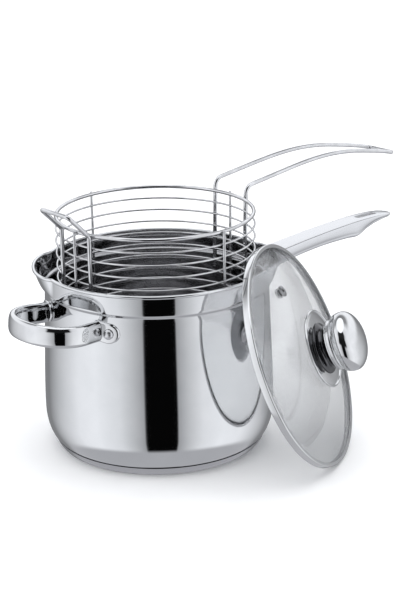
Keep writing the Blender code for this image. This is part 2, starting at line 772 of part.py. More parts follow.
def basket_handle(frame):
    reach = leg_reach(BASKET_HANDLE_HALF_WIDTH)
    length = BASKET_HANDLE_ROUTE[-1][0]
    taper = BASKET_HANDLE_HALF_WIDTH - BASKET_HANDLE_TIP_HALF_WIDTH
    points = []
    for side in (-1, 1):
        run = [Vector((reach, side * BASKET_HANDLE_HALF_WIDTH, BASKET_RIM - LEG_LENGTH))]
        for out, up in BASKET_HANDLE_ROUTE:
            half = BASKET_HANDLE_HALF_WIDTH - taper * (out / length) ** BASKET_HANDLE_TAPER
            run.append(Vector((reach + out, side * half, BASKET_RIM + up)))
        run = rounded_path(run, BASKET_HANDLE_BEND, 3)
        points += run if side < 0 else list(reversed(run))
    half = len(points) // 2
    tip = rounded_path(points[half - 2:half + 2], BASKET_HANDLE_TIP_BEND)
    path = points[:half - 1] + tip[1:-1] + points[half + 1:]
    tube("basket_handle", path, GRIP_WIRE, GRIP_SIDES, bright_wire("basket_handle_wire"), parent=frame)


# Lid, in its own frame: the axis is +Z and the band's upper face is at height zero

GLASS_RADIUS = LID_RADIUS - BAND_WALL - GAP
GLASS_TOP = -BAND_WALL - GAP
DOME_RADIUS = GLASS_RADIUS - GLASS_FLAT_EDGE


def glass_height(radius):
    """Height of the glass's upper face."""
    if radius >= DOME_RADIUS:
        return GLASS_TOP
    radius = max(radius, KNOB_SEAT_RADIUS)
    return GLASS_TOP + GLASS_CROWN * (1.0 - (radius / DOME_RADIUS) ** GLASS_CURVE)


def vent_frame():
    """The vent's axis, square to the flat facet of glass that it sits on."""
    inner, outer = VENT_FACET
    slope = (glass_height(outer) - glass_height(inner)) / (outer - inner)
    flat = math.cos(math.pi / LID_STEPS)
    height = glass_height(inner) + slope * (VENT_DISTANCE / flat - inner)
    lean = Matrix.Rotation(-math.atan(slope / flat), 4, "Y")
    seat = Matrix.Translation((VENT_DISTANCE, 0.0, height))
    return Matrix.Rotation(VENT_ANGLE, 4, "Z") @ seat @ lean


def lid_glass(frame):
    radii = [KNOB_SEAT_RADIUS, 0.030, 0.047, *VENT_FACET, 0.091, DOME_RADIUS]
    upper = [(KNOB_BORE, glass_height(KNOB_BORE))] + [(radius, glass_height(radius)) for radius in radii]
    upper.append((GLASS_RADIUS, GLASS_TOP))
    lower = [(radius, height - GLASS_THICKNESS) for radius, height in reversed(upper)]
    clear = material("lid_clear_glass", (0.86, 0.90, 0.90), 0.03, 0.0, transmission=0.9)
    glass = turned("lid_glass", upper + lower, LID_STEPS, clear, parent=frame)
    hole = prism("vent_hole", arc((0.0, 0.0), VENT_TUBE + GAP, 0.0, 330.0, 11), -0.015, 0.015, vent_frame())
    hole.parent = frame
    cut(glass, hole)
    return glass


def lid_band(frame):
    channel = LID_RADIUS - BAND_WALL
    lip = LID_RADIUS - BAND_LIP
    profile = [
        (lip, 0.0),
        (LID_RADIUS - BAND_CHAMFER, 0.0),
        (LID_RADIUS, -BAND_CHAMFER),
        (LID_RADIUS, -BAND_HEIGHT + BAND_CHAMFER),
        (LID_RADIUS - BAND_CHAMFER, -BAND_HEIGHT),
        (lip, -BAND_HEIGHT),
        (lip, -BAND_HEIGHT + BAND_WALL),
        (channel, -BAND_HEIGHT + BAND_WALL),
        (channel, -BAND_WALL),
        (lip, -BAND_WALL),
    ]
    return turned("lid_band", profile, LID_STEPS, polished("band_steel"), parent=frame)


def lid_vent(frame):
    """A rolled eyelet through the glass, square to it."""
    top = GAP
    low = -GLASS_THICKNESS - GAP
    profile = [
        (VENT_BORE, top + VENT_FLANGE_THICKNESS * 0.4),
        (VENT_TUBE, top + VENT_FLANGE_THICKNESS * 1.4),
        (VENT_FLANGE, top + VENT_FLANGE_THICKNESS),
        (VENT_FLANGE, top),
        (VENT_TUBE - GAP, top),
        (VENT_TUBE - GAP, low),
        (VENT_FLANGE * 0.9, low),
        (VENT_FLANGE * 0.9, low - VENT_FLANGE_THICKNESS),
        (VENT_BORE, low - VENT_FLANGE_THICKNESS),
    ]
    eyelet = turned("lid_vent_eyelet", profile, 14, polished("eyelet_steel"))
    eyelet.data.transform(vent_frame())
    eyelet.parent = frame
    return eyelet


def knob(frame):
    crown = glass_height(0.0)
    seal_low = crown + GAP
    seal_high = seal_low + SEAL_THICKNESS
    profile = [(KNOB_BORE, seal_low), (SEAL_RADIUS, seal_low)]
    profile += [(SEAL_RADIUS, seal_high), (KNOB_BORE, seal_high)]
    rubber = material("seal_silicone", (0.32, 0.33, 0.34), 0.6, 0.0)
    turned("knob_seal", profile, KNOB_STEPS, rubber, parent=frame)

    flange_low = seal_high + GAP
    flange_high = flange_low + FLANGE_THICKNESS
    turned("knob_flange", [
        (KNOB_BORE, flange_low),
        (FLANGE_DISH_RADIUS, flange_low),
        (FLANGE_RADIUS - 0.0008, flange_low - FLANGE_DROP),
        (FLANGE_RADIUS, flange_low - FLANGE_DROP + FLANGE_THICKNESS * 0.5),
        (FLANGE_RADIUS - 0.0008, flange_high - FLANGE_DROP),
        (FLANGE_DISH_RADIUS, flange_high),
        (KNOB_BORE, flange_high),
    ], KNOB_STEPS, polished("flange_steel"), parent=frame)

    stem_low = flange_high + GAP
    stem_high = stem_low + STEM_HEIGHT
    outline = [
        (STEM_FOOT_RADIUS, stem_low),
        (STEM_FOOT_RADIUS * 0.97, stem_low + STEM_HEIGHT * 0.10),
        (STEM_WAIST_RADIUS * 1.06, stem_low + STEM_HEIGHT * 0.32),
        (STEM_WAIST_RADIUS, stem_low + STEM_HEIGHT * 0.55),
        (STEM_WAIST_RADIUS * 1.05, stem_low + STEM_HEIGHT * 0.80),
        (STEM_TOP_RADIUS, stem_high),
    ]
    inside = [(radius - STEM_WALL, height) for radius, height in reversed(outline)]
    turned("knob_stem", outline + inside, KNOB_STEPS, polished("stem_steel"), parent=frame)

    ring_low = stem_high + GAP
    ring_high = ring_low + COLLAR_RING_HEIGHT
    plug_bore = CORE_PLUG_RADIUS + GAP
    waist = COLLAR_RING_RADIUS - COLLAR_GROOVE
    full = COLLAR_RING_RADIUS
    ring = [(plug_bore, ring_low)]
    steps = ((0.0, full), (0.28, full), (0.36, waist), (0.44, waist), (0.52, full), (1.0, full))
    for share, radius in steps:
        ring.append((radius, ring_low + COLLAR_RING_HEIGHT * share))
    ring.append((plug_bore, ring_high))
    turned("knob_collar", ring, KNOB_STEPS, polished("collar_steel"), parent=frame)

    ball_low = ring_high + GAP
    equator = ball_low + BALL_HEIGHT * BALL_EQUATOR
    mouth = COLLAR_RING_RADIUS - 0.0005

    def ball_line(inset):
        """Mouth, lower shoulder, equator and crown of the ball, moved in by the inset."""
        widest = BALL_RADIUS - inset
        lower = equator - ball_low
        line = [(mouth - inset, ball_low), (widest - 0.0011, ball_low + lower * 0.35),
                (widest - 0.0002, ball_low + lower * 0.7)]
        rise = ball_low + BALL_HEIGHT - equator - inset
        for step in range(6):
            angle = math.radians(15.0 * step)
            line.append((widest * math.cos(angle) ** 0.85, equator + rise * math.sin(angle)))
        return line + [(0.0, equator + rise)]

    profile = list(reversed(ball_line(BALL_WALL))) + ball_line(0.0)
    turned("knob_shell", profile, KNOB_STEPS, polished("knob_steel"), parent=frame)

    plug_low = stem_low
    plug_high = equator + 0.004
    screw_head_top = glass_height(0.0) - GLASS_THICKNESS - GAP - WASHER_THICKNESS - GAP
    screw_top = plug_low + SCREW_DEPTH
    plug = [
        (0.0, screw_top + GAP),
        (SCREW_RADIUS + GAP, screw_top + GAP),
        (SCREW_RADIUS + GAP, plug_low),
        (CORE_PLUG_RADIUS, plug_low),
        (CORE_PLUG_RADIUS, plug_high),
        (0.0, plug_high),
    ]
    turned("knob_insert", plug, KNOB_STEPS, material("insert_plastic", (0.05, 0.05, 0.05), 0.5, 0.0),
           parent=frame)

    turned("knob_washer", [
        (KNOB_BORE, screw_head_top + GAP),
        (WASHER_RADIUS, screw_head_top + GAP),
        (WASHER_RADIUS, screw_head_top + GAP + WASHER_THICKNESS),
        (KNOB_BORE, screw_head_top + GAP + WASHER_THICKNESS),
    ], KNOB_STEPS, polished("washer_steel"), parent=frame)

    turned("knob_screw", [
        (0.0, screw_head_top - SCREW_HEAD_HEIGHT),
        (SCREW_HEAD_RADIUS * 0.75, screw_head_top - SCREW_HEAD_HEIGHT),
        (SCREW_HEAD_RADIUS, screw_head_top - SCREW_HEAD_HEIGHT * 0.4),
        (SCREW_HEAD_RADIUS, screw_head_top),
        (SCREW_RADIUS, screw_head_top),
        (SCREW_RADIUS, screw_top),
        (0.0, screw_top),
    ], 12, polished("screw_steel"), parent=frame)


def bead_points(angle, radius, height, bead):
    """Points on the outer and upper face of a ring of wire, at one place round the pot."""
    points = []
    for turn in range(-45, 91, 15):
        roll = math.radians(turn)
        reach = radius + bead * math.cos(roll)
        points.append(Vector((reach * math.cos(angle), reach * math.sin(angle),
                              height + bead * math.sin(roll))))
    return points


def leaning_points():
    """Points on the pot's rim and on the basket above it, on the side where the lid leans."""
    points = []
    rings = int((BASKET_RIM - RIM_HEIGHT) / RING_PITCH)
    for step in range(-90, 91):
        angle = LID_HEADING + math.radians(step)
        points += bead_points(angle, COLLAR_RADIUS + LIP_REACH * lip_factor(angle), RIM_HEIGHT, BEAD_RADIUS)
        points += bead_points(angle, BASKET_RADIUS, BASKET_RIM, RIM_WIRE)
        for index in range(rings):
            points += bead_points(angle, RING_RADIUS, BASKET_RIM - RING_PITCH * (index + 1), RING_WIRE)
    levels = 48
    for index in range(RIB_COUNT):
        angle = 2.0 * math.pi * index / RIB_COUNT
        for level in range(levels + 1):
            height = RIM_HEIGHT + (BASKET_RIM + RIB_STUB - RIM_HEIGHT) * level / levels
            points += bead_points(angle, RIB_RADIUS, height, RIB_WIRE)
    return points


def room_under_lid(centre, normal, points):
    """The smallest distance along the lid's axis from the points up to its underside."""
    room = LID_RADIUS
    for point in points:
        arm = point - centre
        rise = arm.dot(normal)
        out = (arm - normal * rise).length
        under = -BAND_HEIGHT
        if out < LID_RADIUS - BAND_LIP - GAP:
            under = glass_height(out) - GLASS_THICKNESS
        if out < LID_RADIUS:
            room = min(room, under - rise)
    return room


def lid_pose():
    """Where the lid stands: leaning, with its band on the floor, and moved up to the pot's rim."""
    level = Vector((math.cos(LID_HEADING), math.sin(LID_HEADING), 0.0))
    across = Vector((-level.y, level.x, 0.0))
    normal = level * math.cos(LID_LEAN) + Vector((0.0, 0.0, math.sin(LID_LEAN)))
    climb = normal.cross(across)
    height = LID_RADIUS * math.cos(LID_LEAN) + (BAND_HEIGHT - BAND_CHAMFER) * math.sin(LID_LEAN)
    start = across * LID_SIDESTEP + Vector((0.0, 0.0, height))
    points = leaning_points()
    near, far = COLLAR_RADIUS, COLLAR_RADIUS + LID_RADIUS
    for _ in range(18):
        middle = (near + far) / 2.0
        if room_under_lid(start + level * middle, normal, points) < GAP:
            near = middle
        else:
            far = middle
    rows = Matrix((across, climb, normal)).transposed().to_4x4()
    return Matrix.Translation(start + level * far) @ rows


def lid():
    frame = empty("lid_axis", lid_pose())
    lid_glass(frame)
    lid_band(frame)
    lid_vent(frame)
    knob(frame)
    return frame


def main():
    clear_scene()
    pot_guide("guide_wall", GAP)
    pot_guide("guide_lug_face", GAP + LUG_THICKNESS)
    pot_guide("guide_tube_end", GAP + LUG_THICKNESS + GAP)
    pot_body()
    base()
    side_handle()
    long_handle()
    basket()
    lid()


main()
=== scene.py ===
import json
import math

import bmesh
import bpy
from mathutils import Matrix, Vector


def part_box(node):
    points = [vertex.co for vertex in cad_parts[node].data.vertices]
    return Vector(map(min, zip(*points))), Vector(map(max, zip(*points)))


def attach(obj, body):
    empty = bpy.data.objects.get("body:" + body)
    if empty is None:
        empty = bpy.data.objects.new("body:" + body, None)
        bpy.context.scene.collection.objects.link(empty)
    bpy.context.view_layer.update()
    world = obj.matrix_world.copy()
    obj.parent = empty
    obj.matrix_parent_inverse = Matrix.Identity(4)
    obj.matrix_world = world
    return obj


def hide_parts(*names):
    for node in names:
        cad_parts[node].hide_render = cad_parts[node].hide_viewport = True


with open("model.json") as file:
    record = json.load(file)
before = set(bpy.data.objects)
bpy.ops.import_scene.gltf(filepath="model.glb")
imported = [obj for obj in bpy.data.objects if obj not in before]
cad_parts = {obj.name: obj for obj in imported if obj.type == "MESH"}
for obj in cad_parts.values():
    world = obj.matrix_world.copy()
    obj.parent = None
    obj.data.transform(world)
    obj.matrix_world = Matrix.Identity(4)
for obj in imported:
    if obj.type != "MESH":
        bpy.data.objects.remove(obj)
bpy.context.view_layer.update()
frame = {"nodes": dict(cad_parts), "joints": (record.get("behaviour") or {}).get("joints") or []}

# Photograph: picture size, and the point of it that shows the aim point
PICTURE = (401, 601)
AIM_PIXEL = (158.4, 349.6)
FOCAL_PIXELS = 1718.0
AIM_HEIGHT = 0.090
CAMERA_DISTANCE = 1.70
CAMERA_AZIMUTH = math.radians(-40.0)
CAMERA_ELEVATION = math.radians(20.27)
CAMERA_ROLL = math.radians(-1.5)
SENSOR = 36.0

# Clearance between pieces that touch, in metres like every length here
SEAT_GAP = 0.0003

# Pot body
WALL = 0.0010
BELLY_HEIGHT = 0.045
BELLY_ROUNDING = 0.2
NECK_RADIUS = 0.1092
NECK_HEIGHT = 0.1595
CORNER_WIDTH = 0.0155
CORNER_HEIGHT = 0.0340
COLLAR_RADIUS = 0.1115
STEP_RISE = 0.0040
BEAD_RADIUS = 0.0017
LIP_REACH = 0.0077
LIP_HALF_WIDTH = math.radians(23.0)
LIP_ANGLES = (math.radians(144.0), math.radians(-36.0))
LIP_FULLNESS = 3.0
LIP_ROUNDING = 0.6
LIP_RISE = 0.65
BEAD_SETBACK = 0.0001
BEAD_ARC = (-80.0, 150.0)
POT_STEPS = 288
CORNER_STEPS = 28
WALL_STEPS = 26
COLLAR_STEPS = 8
BEAD_STEPS = 16

# Base cap
CAP_WALL = 0.0008
CAP_FOOT_RADIUS = 0.0985
CAP_EDGE_ROUNDING = 0.0020
CAP_BULGE = 0.0004

# Side handle, and the rivets of both handles
TUBE_HALF_THICKNESS = 0.0042
TUBE_HALF_HEIGHT = 0.0100
TUBE_SQUARENESS = 2.8
LOOP_BELOW_NECK = 0.0140
LOOP_TILT_RISE = 0.0045
LOOP_LENGTH = 0.0512
LOOP_STRAIGHT = 0.0100
LOOP_HALF_WIDTH = 0.0450
LOOP_ROOT_HALF_WIDTH = 0.0386
LOOP_SQUARENESS = 2.2
TUBE_SIDES = 48
LOOP_STEPS = 36
LUG_THICKNESS = 0.0020
LUG_RADIUS = 0.0095
LUG_STEPS = 20
RIVET_SPREAD = 0.0480
RIVET_BELOW_NECK = 0.0155
RIVET_HEAD_RADIUS = 0.0050
RIVET_HEAD_HEIGHT = 0.0034
RIVET_SHANK_SHARE = 0.5
RIVET_TAIL_SHARE = 0.84
RIVET_TAIL_THICKNESS = 0.0010
RIVET_DOME_TURNS = range(0, 90, 10)
RIVET_STEPS = 40
INNER_RIVET_RADIUS = RIVET_HEAD_RADIUS * 0.9
INNER_RIVET_HEIGHT = RIVET_HEAD_HEIGHT * 0.5
FERRULE_RIVET_SPREAD = 0.0075
FERRULE_RIVET_BELOW_NECK = 0.0110
FERRULE_RIVET_TAIL = -0.007

# Sections of a lug: how far its outline is drawn in, and the share of its thickness that it lies out
LUG_SECTIONS = ((0.45, 0.0), (0.0, 0.0), (0.0, 0.7), (0.04, 0.9), (0.12, 1.0), (0.45, 1.0), (0.7, 1.0))

# Long handle
HANDLE_START = 0.152
HANDLE_LENGTH = 0.178
HANDLE_ABOVE_NECK = 0.0010
HANDLE_RISE = 0.0076
HANDLE_HALF_WIDTH = 0.0130
HANDLE_DEPTH = 0.0182
HANDLE_TOP_EDGE = 0.0014
HANDLE_LOW_EDGE = 0.0050
HANDLE_FOOT_SHARE = 0.76
HANDLE_CROWN = 0.0004
HANDLE_SIDE_STEPS = 8
HANDLE_EDGE_STEPS = 7
FERRULE_ROOT_HALF_WIDTH = 0.0150
FERRULE_ROOT_DEPTH = 0.0235
FERRULE_ROOT_DROP = 0.0020
FERRULE_STEPS = 12
SLOT_FROM_TIP = 0.0190
SLOT_LENGTH = 0.0305
SLOT_HALF_WIDTH = 0.0042
SLOT_STEPS = 16
SLOT_MARGIN = 0.0002

# Stations of the handle: how far along its length, and shares of its half width, rise and depth
HANDLE_STATIONS = (
    (0.000, 1.00, 0.00, 1.00),
    (0.112, 0.97, 0.20, 0.91),
    (0.270, 0.93, 0.50, 0.87),
    (0.438, 0.90, 0.75, 0.88),
    (0.607, 0.88, 0.93, 0.96),
    (0.702, 0.88, 1.00, 1.03),
    (0.781, 0.86, 1.00, 0.73),
    (0.871, 0.82, 0.94, 0.47),
    (0.938, 0.74, 0.82, 0.32),
    (0.980, 0.60, 0.70, 0.26),
    (1.000, 0.38, 0.62, 0.20),
)

# Basket wire
RIM_WIRE = 0.0018
RIB_WIRE = 0.0013
GRIP_WIRE = 0.0021
RIB_BEND = 0.008
RIB_STUB = 0.0022
LEG_LENGTH = 0.081
HOOK_HALF_WIDTH = 0.0207
HOOK_OUT = 0.0230
HOOK_UP = 0.0228
HOOK_BEND = 0.0045
GRIP_HALF_WIDTH = 0.0222
GRIP_TIP_HALF_WIDTH = 0.0168
GRIP_BEND = 0.0095
GRIP_TIP_BEND = 0.0065
GRIP_TAPER = 2.5
RIB_COUNT = 4
WIRE_SIDES = 12
THIN_WIRE_SIDES = 10
GRIP_SIDES = 16
RING_STEPS = 120
ROUTE_STEPS = 6
TIP_BACK = 4

# Basket handle: distance beyond the legs and height above the basket's rim
GRIP_ROUTE = (
    (0.0025, 0.0105), (0.0340, 0.0145), (0.0560, 0.0173), (0.0800, 0.0200), (0.1040, 0.0216),
    (0.1290, 0.0214), (0.1540, 0.0190), (0.1790, 0.0147), (0.2040, 0.0097), (0.2225, 0.0050),
)

# Lid, about its own axis with the band's upper face at height zero
LID_RADIUS = 0.1100
BAND_HEIGHT = 0.0070
BAND_WALL = 0.0008
BAND_LIP = 0.0038
BAND_BEND = 0.0011
GLASS_THICKNESS = 0.0040
GLASS_CROWN = 0.0215
GLASS_FLAT_EDGE = 0.0065
GLASS_CURVE = 2.1
GLASS_EDGE_BEND = 0.0008
KNOB_SEAT_RADIUS = 0.0130
KNOB_BORE = 0.0030
GLASS_CENTRE_RADII = (KNOB_BORE, 0.006, 0.010, KNOB_SEAT_RADIUS)
DOME_STEPS = 36
LID_STEPS = 192

# Vent: the eyelet's roll is a list of (radius, height over the glass)
VENT_DISTANCE = 0.0700
VENT_FACET = (0.062, 0.078)
VENT_ANGLE = math.radians(103.5)
VENT_BORE = 0.0016
VENT_TUBE = 0.0030
VENT_FLANGE = 0.0056
VENT_ROLL = ((VENT_BORE, 0.0011), (VENT_FLANGE * 0.55, 0.0013), (VENT_FLANGE, 0.0004))
VENT_ROLL_BEND = 0.0006
VENT_FOOT = VENT_FLANGE * 0.9
VENT_FOOT_THICKNESS = 0.0007
VENT_FOOT_CUP = 0.0001
VENT_STEPS = 48

# Knob
SEAL_THICKNESS = 0.0008
FLANGE_RADIUS = 0.0380
FLANGE_THICKNESS = 0.0010
FLANGE_FLAT_RADIUS = 0.0150
FLANGE_DISH_RADIUS = 0.0265
FLANGE_DROP = 0.0014
FLANGE_BEAD = 0.0011
FLANGE_BEAD_RISE = 0.0002
STEM_FOOT_RADIUS = 0.0250
STEM_WAIST_RADIUS = 0.0195
STEM_TOP_RADIUS = 0.0230
STEM_HEIGHT = 0.0100
STEM_WALL = 0.0012
COLLAR_RING_RADIUS = 0.0242
COLLAR_RING_HEIGHT = 0.0042
COLLAR_EDGE_RADIUS = COLLAR_RING_RADIUS - 0.0003
COLLAR_GROOVE_RADIUS = COLLAR_RING_RADIUS - 0.0006
PLUG_BORE = 0.0103
BALL_RADIUS = 0.0287
BALL_HEIGHT = 0.0245
BALL_WALL = 0.0010
BALL_EQUATOR = 0.42
BALL_FULLNESS = 0.9
BALL_MOUTH = COLLAR_RING_RADIUS - 0.0005
BALL_BELLY_WALL = 0.0055
BALL_MOUTH_WALL = 0.0025
BALL_LOW_STEPS = 16
BALL_HIGH_STEPS = 24
KNOB_STEPS = 96
KNOB_CLOUD = 80.0
KNOB_RIPPLE = 0.004

# Outlines of the knob's stem and of the ring on it: radius, and share of the piece's height
STEM_OUTLINE = (
    (STEM_FOOT_RADIUS, 0.0),
    (STEM_FOOT_RADIUS * 0.97, 0.10),
    (STEM_WAIST_RADIUS * 1.06, 0.32),
    (STEM_WAIST_RADIUS, 0.55),
    (STEM_WAIST_RADIUS * 1.05, 0.80),
    (STEM_TOP_RADIUS, 1.0),
)
COLLAR_OUTLINE = (
    (COLLAR_EDGE_RADIUS, 0.0), (COLLAR_RING_RADIUS, 0.05), (COLLAR_RING_RADIUS, 0.26),
    (COLLAR_GROOVE_RADIUS, 0.34), (COLLAR_GROOVE_RADIUS, 0.46), (COLLAR_RING_RADIUS, 0.54),
    (COLLAR_RING_RADIUS, 0.95), (COLLAR_EDGE_RADIUS, 1.0),
)

# Places that follow from the values above
LOOP_HEIGHT = NECK_HEIGHT - LOOP_BELOW_NECK
RIVET_HEIGHT = NECK_HEIGHT - RIVET_BELOW_NECK
FERRULE_RIVET_HEIGHT = NECK_HEIGHT - FERRULE_RIVET_BELOW_NECK
HANDLE_TOP = NECK_HEIGHT + HANDLE_ABOVE_NECK
FERRULE_ROOT_RADIUS = NECK_RADIUS - WALL * 3.0

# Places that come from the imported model
POT_LOW, POT_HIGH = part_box("pot_body")
BELLY_RADIUS = POT_HIGH.y
POT_UNDERSIDE = POT_LOW.z
RIM_HEIGHT = POT_HIGH.z - BEAD_RADIUS
CAP_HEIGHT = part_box("base_cap")[1].z
RIM_LOW, RIM_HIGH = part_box("basket_rim")
BASKET_RADIUS = RIM_HIGH.x - RIM_WIRE
BASKET_RIM = (RIM_LOW.z + RIM_HIGH.z) / 2.0
RIB_LOW, RIB_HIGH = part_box("basket_rib_1")
RIB_RADIUS = RIB_HIGH.x - RIB_WIRE
RIB_FLOOR = RIB_LOW.z + RIB_WIRE
LEG_RADIUS = BASKET_RADIUS + RIM_WIRE + SEAT_GAP + GRIP_WIRE


# Shapes: each function gives points, or points and faces

# A corner this near to straight is kept, and an arc takes no more than this share of a run
NEARLY_STRAIGHT = math.radians(87.0)
ARC_SHARE = 0.49

# Sections of a wire's round end, in degrees from its tip's edge
TIP_TURNS = (85, 65, 45, 25, 0)


def arc(centre, radius, start, end, steps):
    points = []
    for step in range(steps + 1):
        angle = math.radians(start + (end - start) * step / steps)
        points.append((centre[0] + radius * math.cos(angle), centre[1] + radius * math.sin(angle)))
    return points


def bend(points, radius, steps=6, closed=False):
    """Straight runs, with every corner turned into an arc."""
    points = [Vector(point) for point in points]
    count = len(points)
    path = [] if closed else [points[0]]
    for index in (range(count) if closed else range(1, count - 1)):
        corner = points[index]
        towards = points[index - 1] - corner
        away = points[(index + 1) % count] - corner
        half = towards.angle(away) / 2.0
        if half > NEARLY_STRAIGHT:
            path.append(corner)
            continue
        back = min(radius / math.tan(half), towards.length * ARC_SHARE, away.length * ARC_SHARE)
        first = corner + towards.normalized() * back
        last = corner + away.normalized() * back
        middle = corner + (towards.normalized() + away.normalized()).normalized() * (back / math.cos(half))
        spoke = first - middle
        sweep = math.pi - 2.0 * half
        other = (last - middle - spoke * math.cos(sweep)) / math.sin(sweep)
        for step in range(steps + 1):
            turn = sweep * step / steps
            path.append(middle + spoke * math.cos(turn) + other * math.sin(turn))
    if not closed:
        path.append(points[-1])
    return path


def flowing(points, between):
    """A smooth curve through the points, with extra points between them."""
    points = [Vector(point) for point in points]
    ends = [points[0] * 2.0 - points[1]] + points + [points[-1] * 2.0 - points[-2]]
    path = []
    for before, here, there, after in zip(ends, ends[1:], ends[2:], ends[3:]):
        for step in range(between):
            t = step / between
            path.append(0.5 * (2.0 * here + (there - before) * t
                               + (2.0 * before - 5.0 * here + 4.0 * there - after) * t ** 2
                               + (3.0 * here - before - 3.0 * there + after) * t ** 3))
    return path + [points[-1]]


def turned(profile, steps, reshape=None):
    """A profile of (radius, height) turned about Z: a closed loop, or a line from axis to axis."""
    verts, faces, rows = [], [], []
    for radius, height in profile:
        if radius == 0.0:
            rows.append([len(verts)] * steps)
            verts.append((0.0, 0.0, height))
            continue
        row = []
        for step in range(steps):
            angle = 2.0 * math.pi * step / steps
            far = reshape(angle, radius, height) if reshape else radius
            row.append(len(verts))
            verts.append((far * math.cos(angle), far * math.sin(angle), height))
        rows.append(row)
    on_axis = profile[0][0] == 0.0 and profile[-1][0] == 0.0
    for index in range(len(rows) - 1 if on_axis else len(rows)):
        low, high = rows[index], rows[(index + 1) % len(rows)]
        for step in range(steps):
            after = (step + 1) % steps
            corners = list(dict.fromkeys((low[step], low[after], high[after], high[step])))
            if len(corners) > 2:
                faces.append(corners)
    return verts, faces


def swept(path, radius, sides, closed=False):
    """A round wire along a path. An open one has round ends."""
    path = [Vector(point) for point in path]
    radii = [radius] * len(path)
    if not closed:
        turns = [math.radians(degrees) for degrees in TIP_TURNS]
        for _ in range(2):
            path.reverse()
            radii.reverse()
            tip, inward = path[0], (path[1] - path[0]).normalized()
            path[:1] = [tip + inward * radius * (1.0 - math.sin(turn)) for turn in turns]
            radii[:1] = [radius * math.cos(turn) for turn in turns]
    sections = []
    for place, (across, up), width in zip(path, travelling_frames(path, closed), radii):
        section = []
        for step in range(sides):
            angle = 2.0 * math.pi * step / sides
            section.append(place + width * (across * math.cos(angle) + up * math.sin(angle)))
        sections.append(section)
    return lofted(sections, closed)


def travelling_frames(path, closed):
    """Two directions square to the path at each of its points, turning as little as they can."""
    count = len(path)
    side = None
    frames = []
    for index in range(count):
        if closed:
            run = path[(index + 1) % count] - path[index - 1]
        else:
            run = path[min(index + 1, count - 1)] - path[max(index - 1, 0)]
        tangent = run.normalized()
        if side is None:
            side = tangent.cross(Vector((0.0, 0.0, 1.0))) if abs(tangent.z) < 0.9 else tangent.orthogonal()
        side = (side - tangent * side.dot(tangent)).normalized()
        frames.append((side, tangent.cross(side)))
    return frames


def lofted(sections, closed=False):
    """Sections of equal point count, joined in order: a ring, or a solid with two flat ends."""
    size = len(sections[0])
    verts = [point for section in sections for point in section]
    faces = []
    if not closed:
        faces += [list(range(size)), list(range((len(sections) - 1) * size, len(sections) * size))]
    for index in range(len(sections) if closed else len(sections) - 1):
        here, there = index * size, ((index + 1) % len(sections)) * size
        for step in range(size):
            after = (step + 1) % size
            faces.append([here + step, here + after, there + after, there + step])
    return verts, faces


def mesh_of(name, shape, sharp, place=Matrix()):
    mesh = bpy.data.meshes.new(name)
    mesh.from_pydata([tuple(place @ Vector(point)) for point in shape[0]], [], shape[1])
    tidy = bmesh.new()
    tidy.from_mesh(mesh)
    bmesh.ops.recalc_face_normals(tidy, faces=tidy.faces)
    tidy.to_mesh(mesh)
    tidy.free()
    mesh.shade_smooth()
    mesh.set_sharp_from_angle(angle=math.radians(sharp))
    return mesh


def new_object(name, data):
    made = bpy.data.objects.new(name, data)
    bpy.context.scene.collection.objects.link(made)
    return made


def piece(name, shape, finish, body, nodes, place=Matrix(), sharp=38.0):
    """A visible piece that rides on a body and stands for CAD nodes."""
    made = new_object(name, mesh_of(name, shape, sharp, place))
    made.data.materials.append(finish)
    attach(made, body)
    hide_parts(*nodes)
    return made


# Materials

# Pitch of the hairlines that polishing leaves, and depths of the lines in polished and lined steel
POLISH_PITCH = 0.0011
POLISH_DEPTH = 0.0001
LINE_DEPTH = 0.00012


class Tree:
    """A node tree, with short calls for the nodes that are used here."""

    def __init__(self, tree):
        self.tree = tree

    def add(self, kind, **settings):
        node = self.tree.nodes.new(kind)
        for key, value in settings.items():
            setattr(node, key, value)
        return node

    def link(self, start, end):
        self.tree.links.new(start, end)

    def ramp(self, value, low, high, start, end, **settings):
        """Runs from low to high while the value runs from start to end."""
        node = self.add("ShaderNodeMapRange", **settings)
        for name, number in (("From Min", start), ("From Max", end), ("To Min", low), ("To Max", high)):
            node.inputs[name].default_value = number
        self.link(value, node.inputs["Value"])
        return node.outputs["Result"]


